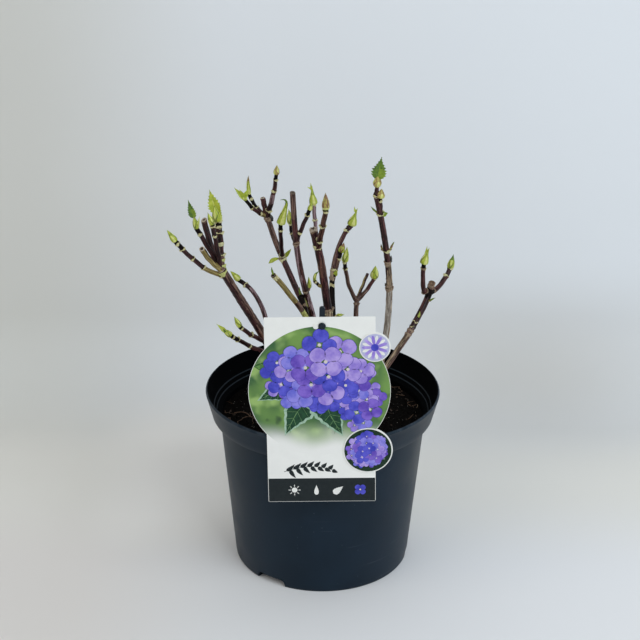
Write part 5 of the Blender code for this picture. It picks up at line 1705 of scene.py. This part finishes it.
def inkLeaf(length, width, teeth, bend=0.0, widest=0.62):
    # the outline of a leaf along X, from its stalk at the origin
    v = np.linspace(0, 1, teeth * 2 + 1)
    reach = pointed(v, widest, 0.2) * width / 2
    reach = reach * (1 + 0.06 * np.where(np.arange(len(v)) % 2 == 0, 1, -1))
    x, y = v * length, bend * length * v * (1 - v) * 4
    upper = np.stack([x, y + reach], -1)
    lower = np.stack([x, y - reach], -1)[1:-1][::-1]
    return np.concatenate([upper, lower])


def turnedOutline(outline, turn, x, y, size=1.0):
    c, s = math.cos(math.radians(turn)), math.sin(math.radians(turn))
    return (outline * size) @ np.array(((c, s), (-s, c))) + np.array((x, y))


def addInkLeaf(piece, x, y, turn, length, width, layer, tones, clip, teeth=9, bend=0.06, pale=False):
    edge, blade, vein = tones
    outline = inkLeaf(length, width, teeth, bend)
    addInk(piece, turnedOutline(outline, turn, x, y), layer, edge, clip)
    inner = inkLeaf(length * 0.93, width * (0.80 if pale else 0.90), teeth, bend)
    addInk(piece, turnedOutline(inner + np.array((length * 0.03, 0)), turn, x, y), layer + 1, blade, clip)
    for k in range(teeth - 2):
        share = 0.12 + 0.80 * k / (teeth - 2)
        reach = pointed(np.array(share), 0.62, 0.2) * width / 2 * 0.80
        for sign in (1, -1):
            start = np.array((share * length, bend * length * share * (1 - share) * 4))
            end = start + np.array((length * 0.11, sign * reach))
            addInk(piece, turnedOutline(strokeOutline(start, end, 0.00035), turn, x, y), layer + 2, vein,
                   clip)
    spine = [(s * length, bend * length * s * (1 - s) * 4) for s in (0.0, 0.3, 0.6, 0.95)]
    for a, b in zip(spine, spine[1:]):
        addInk(piece, turnedOutline(strokeOutline(np.array(a), np.array(b), 0.0006), turn, x, y), layer + 3,
               vein, clip)


def strokeOutline(start, end, width):
    way = unit(end - start)
    side = np.array((-way[1], way[0])) * width / 2
    return np.array((start - side, end - side * 0.5, end + side * 0.5, start + side))


def petalOutline(turn, length, width):
    v = np.linspace(0, math.pi, 9)
    rounded = np.stack([length * (0.58 - 0.42 * np.cos(v)), width / 2 * np.sin(v) ** 0.8], -1)
    mirrored = rounded[1:-1][::-1] * np.array((1, -1))
    return turnedOutline(np.concatenate([rounded, mirrored]), turn, 0.0, 0.0)


def floretShape(name, length, width, material, eye=False):
    # four petals of a unit floret, or its eye, facing +Z
    piece = newPiece(name, {"ink": material})
    for k in range(1 if eye else 4):
        outline = circleOutline(0, 0, length, 8) if eye else petalOutline(90 * k + 45, length, width)
        middle = outline.mean(0)
        flat = np.column_stack([np.vstack([outline, middle]), np.zeros(len(outline) + 1)])
        number = np.arange(len(outline))
        fan = np.stack([number, (number + 1) % len(outline), np.full(len(outline), len(outline))], -1)
        addFaces(piece, flat, fan, "ink")
    obj = buildPiece(piece, outward=False)
    if obj.data.polygons[0].normal.z < 0:
        obj.data.flip_normals()
    return obj


blooms = [
    # round heads of florets printed on the card: middle, radius, florets, size of one, layer, clip
    dict(centre=(-0.0020, 0.0420), radius=0.0450, count=44, size=0.0165, layer=24, clip="disc", seed=2),
    dict(centre=(0.0390, 0.0880), radius=0.0190, count=16, size=0.0120, layer=22, clip="disc", seed=6),
    dict(centre=(0.0405, 0.1290), radius=0.0165, count=44, size=0.0072, layer=44, clip="lowerBadge", seed=9),
]


def bloomPoints(bloom):
    # florets of a head by the sunflower rule, smaller and closer towards its edge, as on a ball
    rng = np.random.default_rng(bloom["seed"])
    order = np.arange(bloom["count"])[::-1]
    share = np.sqrt((order + 0.5) / bloom["count"])
    ball = np.sin(share * math.pi / 2 * 0.92) / math.sin(math.pi / 2 * 0.92)
    turn = order * math.radians(137.508) + rng.uniform(-0.2, 0.2, len(order))
    spokes = np.stack([np.cos(turn), np.sin(turn)], -1)
    places = np.array(bloom["centre"]) + (ball * bloom["radius"])[:, None] * spokes
    places = places + rng.normal(0, bloom["size"] * 0.06, places.shape)
    sizes = bloom["size"] * (1.0 - 0.42 * share ** 2) * rng.uniform(0.9, 1.12, len(order))
    centre, radius = np.array(cardShape[bloom["clip"]][:2]), cardShape[bloom["clip"]][2]
    kept = np.linalg.norm(places - centre, axis=1) + sizes * 0.92 < radius - 0.0014
    spins = rng.uniform(0, math.pi / 2, len(order))
    return places[kept], sizes[kept], spins[kept], rng.integers(0, 4, len(order))[kept]


def makeBlooms(inks):
    meshes = []
    petal = floretShape("petals", 0.92, 0.86, inks["petal shade"])
    inner = floretShape("petals_inner", 0.90, 0.83, inks["petal blue"])
    eye = floretShape("eye", 0.10, 0.10, inks["eye"], eye=True)
    for bloom in blooms:
        places, sizes, spins, kinds = bloomPoints(bloom)
        base = cardShape["thick"] + bloom["layer"] * inkLayer
        depth = base + np.arange(len(places)) * 0.000006
        outward = np.stack([np.cos(spins), np.sin(spins), 0 * spins], -1)
        tones = ["petal blue", "petal violet", "petal light", "petal lilac"]
        runs = [(petal, np.ones(len(places), bool), 0.0, "petal shade"),
                (eye, np.ones(len(places), bool), 4e-6, "eye")]
        runs += [(inner, kinds == k, 2e-6, tone) for k, tone in enumerate(tones)]
        for shape, chosen, lift, tone in runs:
            spots = np.column_stack([places[chosen], depth[chosen] + lift])
            upward = np.tile((0.0, 0.0, 1.0), (len(spots), 1))
            meshes.append(placeCopies(shape, inks[tone], spots, upward, outward[chosen], sizes[chosen]))
    dropObjects(petal, inner, eye)
    for mesh in meshes:
        mesh.transform(cardMatrix())
    obj = joinMeshes("label_blooms", meshes)
    return rideRoot(obj, "label_card")


def makeInk(name, base, other=None, scale=260.0):
    return makeMottled(name, base, other or [c * 0.9 for c in base], scale, 4, 0.2, 0.36, 0.2)


def makeBlurredGround():
    # out-of-focus greens that fade into the white of the card towards the bottom of the picture
    material, tree, shader, place = newMaterial("printed ground")
    broad = addNoise(tree, place, 26.0, 1.0)
    soft = addNoise(tree, place, 62.0, 1.5)
    colour = mixColours(tree, addRange(tree, broad, 0.38, 0.62), opaque((0.030, 0.110, 0.030)),
                        opaque((0.160, 0.300, 0.060)))
    colour = mixColours(tree, addRange(tree, soft, 0.50, 0.72), colour, opaque((0.300, 0.460, 0.130)))
    colour = mixColours(tree, addRange(tree, soft, 0.36, 0.24), colour, opaque((0.012, 0.050, 0.018)))
    height = addNode(tree, "ShaderNodeSeparateXYZ", {0: place}).outputs["Z"]
    uneven = addMath(tree, "ADD", height,
                     addMath(tree, "MULTIPLY", addMath(tree, "SUBTRACT", broad, 0.5), 0.03))
    fade = addRange(tree, uneven, 0.200, 0.172)
    colour = mixColours(tree, fade, colour, opaque((0.850, 0.840, 0.805)))
    tree.links.new(colour, shader.inputs["Base Color"])
    shader.inputs["Roughness"].default_value = 0.34
    return material


def makePrint(inks):
    piece = newPiece("label_print", inks)
    disc, upper, lower = (cardShape[k] for k in ("disc", "upperBadge", "lowerBadge"))
    addInk(piece, circleOutline(disc[0], disc[1], disc[2] - 0.0004, 160), 1, "ground")
    leafTones = ("leaf edge", "leaf dark", "leaf vein")
    freshTones = ("leaf mid", "leaf fresh", "leaf vein")
    for k, (x, y, turn, length, width, tones, pale) in enumerate((
            (-0.012, 0.060, 196, 0.050, 0.030, freshTones, False),
            (0.002, 0.064, 124, 0.062, 0.036, leafTones, True),
            (-0.006, 0.062, 160, 0.054, 0.030, leafTones, False),
            (0.002, 0.060, 14, 0.058, 0.034, freshTones, False),
            (0.000, 0.062, 70, 0.058, 0.034, leafTones, True),
            (0.008, 0.060, 44, 0.050, 0.028, leafTones, False))):
        addInkLeaf(piece, x, y, turn, length, width, 2 + k * 3, tones, disc, pale=pale)
    addInk(piece, circleOutline(cardShape["hole"][0] - 0.0055, cardShape["hole"][1] + 0.0004, 0.0024, 40),
           40, "white")
    addInk(piece, circleOutline(upper[0], upper[1], upper[2] - 0.0003, 72), 40, "white")
    addInk(piece, circleOutline(upper[0], upper[1], upper[2] - 0.0012, 72), 41, "petal pale")
    for k in range(18):
        petal = petalOutline(20 * k, upper[2] * 0.82, 0.0030)
        addInk(piece, petal + np.array(upper[:2]), 42 + k % 2, "petal lilac" if k % 2 else "white")
    addInk(piece, circleOutline(upper[0], upper[1], 0.0034, 32), 45, "petal blue")
    addInk(piece, circleOutline(lower[0], lower[1], lower[2] - 0.0002, 96), 38, "white")
    addInk(piece, circleOutline(lower[0], lower[1], lower[2] - 0.0012, 96), 39, "leaf night")
    for k, (turn, length) in enumerate(((30, 0.018), (75, 0.019), (140, 0.018), (200, 0.018), (310, 0.018))):
        addInkLeaf(piece, lower[0], lower[1], turn, length, 0.011, 40, freshTones if k % 2 else leafTones,
                   (lower[0], lower[1], lower[2] - 0.001), teeth=6)
    half, height, corner = cardShape["width"] / 2, cardShape["height"], cardShape["corner"]
    band = [(-half + 0.0004, 0.1590), (half - 0.0004, 0.1590), (half - 0.0004, height - 0.0003),
            (-half + 0.0004, height - 0.0003)]
    addInk(piece, band, 2, "slate")
    addSprig(piece)
    addCareSigns(piece)
    obj = buildPiece(piece, 20.0)
    obj.data.transform(cardMatrix())
    return rideRoot(obj, "label_card")


def addSprig(piece):
    # a plain bent sprig across the white of the card
    def stemAt(share):
        return np.array((-0.0340 + 0.0480 * share, 0.1520 - 0.0050 * math.sin(math.pi * share)))
    for k in range(12):
        addInk(piece, strokeOutline(stemAt(k / 12), stemAt((k + 1.05) / 12), 0.0007), 2, "slate")
    for k in range(14):
        leaf = inkLeaf(0.0105 - 0.00035 * k, 0.0038, 5, 0.05)
        turn = (1 if k % 2 else -1) * (50 - k) + 8 * math.cos(math.pi * k / 14)
        addInk(piece, turnedOutline(leaf, turn, *stemAt((k + 0.6) / 15)), 3 + k % 2, "slate")


def addCareSigns(piece):
    # sun, drop and leaf, as on any plant label
    x, y = -0.0250, 0.1710
    addInk(piece, circleOutline(x, y, 0.0026, 28), 4, "white")
    for k in range(8):
        turn = math.radians(45 * k)
        way = np.array((math.cos(turn), math.sin(turn)))
        addInk(piece,
               strokeOutline(np.array((x, y)) + way * 0.0036, np.array((x, y)) + way * 0.0056, 0.0009), 4,
               "white")
    t = fullTurn(28)
    drop = np.stack([0.0030 * np.sin(t) * np.sin(t / 2) ** 1.5, -0.0050 * np.cos(t)], -1)
    addInk(piece, drop + np.array((x + 0.0200, y)), 4, "white")
    addInk(piece, turnedOutline(inkLeaf(0.0115, 0.0062, 6, 0.0), -40, x + 0.0355, y + 0.0040), 4, "white")
    for k in range(4):
        addInk(piece, petalOutline(90 * k + 45, 0.0058, 0.0054) + np.array((x + 0.0600, y)), 4, "petal blue")
    addInk(piece, circleOutline(x + 0.0600, y, 0.0009, 12), 5, "eye")


# the stud's profile is (radius, height over the back of the card), from its shank to the middle of its face
stake = dict(
    halfWidth=0.0025, thick=0.0011, gap=0.0017, footY=-0.0925, footZ=0.1400, pastStud=0.018, ease=0.0004,
    studSides=32,
    studProfile=((0.0018, 0.0002), (0.0031, 0.0003), (0.0033, 0.0006), (0.0033, 0.0012), (0.0030, 0.0016),
                 (0.0022, 0.0019), (0.0012, 0.0017), (0.0001, 0.0016)))


def makeStake(material):
    # the stake behind the card, rounded at its top, with its stud through the card
    half, thick = stake["halfWidth"], stake["thick"]
    behind = -stake["gap"] - thick
    toWorld = cardMatrix()
    x, y = cardShape["hole"][:2]
    stud = toWorld @ Vector((x, y, behind))
    foot = Vector((stud.x, stake["footY"], stake["footZ"]))
    rise = (stud - foot).normalized()
    top = stud + rise * stake["pastStud"]
    sideways = Vector((1.0, 0.0, 0.0))
    facing = rise.cross(sideways)
    outline = [foot - sideways * half, foot + sideways * half]
    for k in range(17):
        turn = math.pi * k / 16
        outline.append(top - rise * half + sideways * half * math.cos(turn) + rise * half * math.sin(turn))
    work = startPlate(*([p + facing * depth for p in outline] for depth in (-thick, thick)))
    rimEdges = [e for e in work.edges if len(e.link_faces) == 2 and e.calc_face_angle(0) > 0.8]
    bmesh.ops.bevel(work, geom=rimEdges, offset=stake["ease"], segments=2, profile=0.6, affect="EDGES")
    stem = endPlate(work, "stake_stem", material)
    button = newPiece("stud", {"plastic": material})
    shank = stake["studProfile"][0][0]
    profile = [(0.0001, behind), (shank, behind)]
    profile += [(r, cardShape["thick"] + z) for r, z in stake["studProfile"]]
    rings = turnProfile(profile, stake["studSides"]) + np.array((x, y, 0.0))
    addTube(button, rings, np.zeros((len(profile) - 1) * stake["studSides"], int))
    studObj = buildPiece(button)
    studObj.data.transform(toWorld)
    obj = joinMeshes("stake_and_stud", [stem, studObj.data])
    dropObjects(studObj)
    return rideRoot(obj, "stake_plastic", "label_stake")


inks = {
    "ground": makeBlurredGround(),
    "white": makeInk("printed white", (0.860, 0.850, 0.815)),
    "slate": makeInk("printed slate", (0.010, 0.015, 0.017), (0.014, 0.020, 0.022)),
    "leaf dark": makeInk("printed leaf, dark", (0.008, 0.035, 0.018), (0.020, 0.080, 0.034)),
    "leaf edge": makeInk("printed leaf, edge", (0.260, 0.430, 0.300), (0.420, 0.560, 0.440)),
    "leaf vein": makeInk("printed leaf, vein", (0.100, 0.230, 0.090), (0.200, 0.340, 0.140)),
    "leaf mid": makeInk("printed leaf, mid", (0.030, 0.100, 0.025)),
    "leaf fresh": makeInk("printed leaf, fresh", (0.060, 0.170, 0.035), (0.120, 0.260, 0.055)),
    "leaf night": makeInk("printed leaf, night", (0.006, 0.020, 0.010), (0.012, 0.040, 0.018)),
    "petal shade": makeInk("printed petal, shade", (0.036, 0.030, 0.270), (0.060, 0.045, 0.360)),
    "petal blue": makeInk("printed petal, blue", (0.040, 0.045, 0.420), (0.120, 0.115, 0.660), 110.0),
    "petal violet": makeInk("printed petal, violet", (0.100, 0.050, 0.420), (0.250, 0.150, 0.640), 110.0),
    "petal light": makeInk("printed petal, light", (0.120, 0.130, 0.620), (0.320, 0.280, 0.780), 110.0),
    "petal lilac": makeInk("printed petal, lilac", (0.250, 0.170, 0.620), (0.500, 0.380, 0.790), 110.0),
    "petal pale": makeInk("printed petal, pale", (0.500, 0.500, 0.720)),
    "eye": makeInk("printed floret eye", (0.700, 0.640, 0.600)),
}


# making

bpy.context.scene.view_settings.view_transform = "Standard"
makeCamera()
makeLights()
makeStage(makeBackdropPaintedLight())
print("studio made")
# painted light on the pot: the outer plastic's last number paints its top-edge highlight, the inside plastic
# is painted far darker as shade, and the step plastic is painted lighter as highlights on the inner step
makePot(makePotPlastic("pot plastic", (0.0032, 0.0091, 0.0180), (0.0056, 0.0141, 0.0268), 0.41, 0.25, 0.42),
        makePotPlastic("pot plastic, inside, painted shade", (0.0007, 0.0008, 0.0010), (0.0014, 0.0015, 0.0018), 0.80, 0.03),
        makePotPlastic("pot plastic, step, painted highlight", (0.006, 0.009, 0.012), (0.013, 0.017, 0.022), 0.50, 0.20))
print("pot made")
makeSoil(makeGritty("peat", (0.0011, 0.0009, 0.0008), (0.0045, 0.0033, 0.0026), 700.0, shine=0.04))
ground = makeGround()
makeLitter(ground)
dropObjects(ground)
makeRoots()
print("compost made")
makeCard(makeInk("card", (0.845, 0.835, 0.800), (0.875, 0.865, 0.830), 90.0))
makePrint(inks)
makeBlooms(inks)
stakePlastic = makeGritty("stake plastic", (0.0040, 0.0085, 0.0140), (0.0080, 0.0150, 0.0235), 300.0, 0.42,
                          0.1, shine=0.25)
makeStake(stakePlastic)
print("label made")
makePlant()
print("plant made")
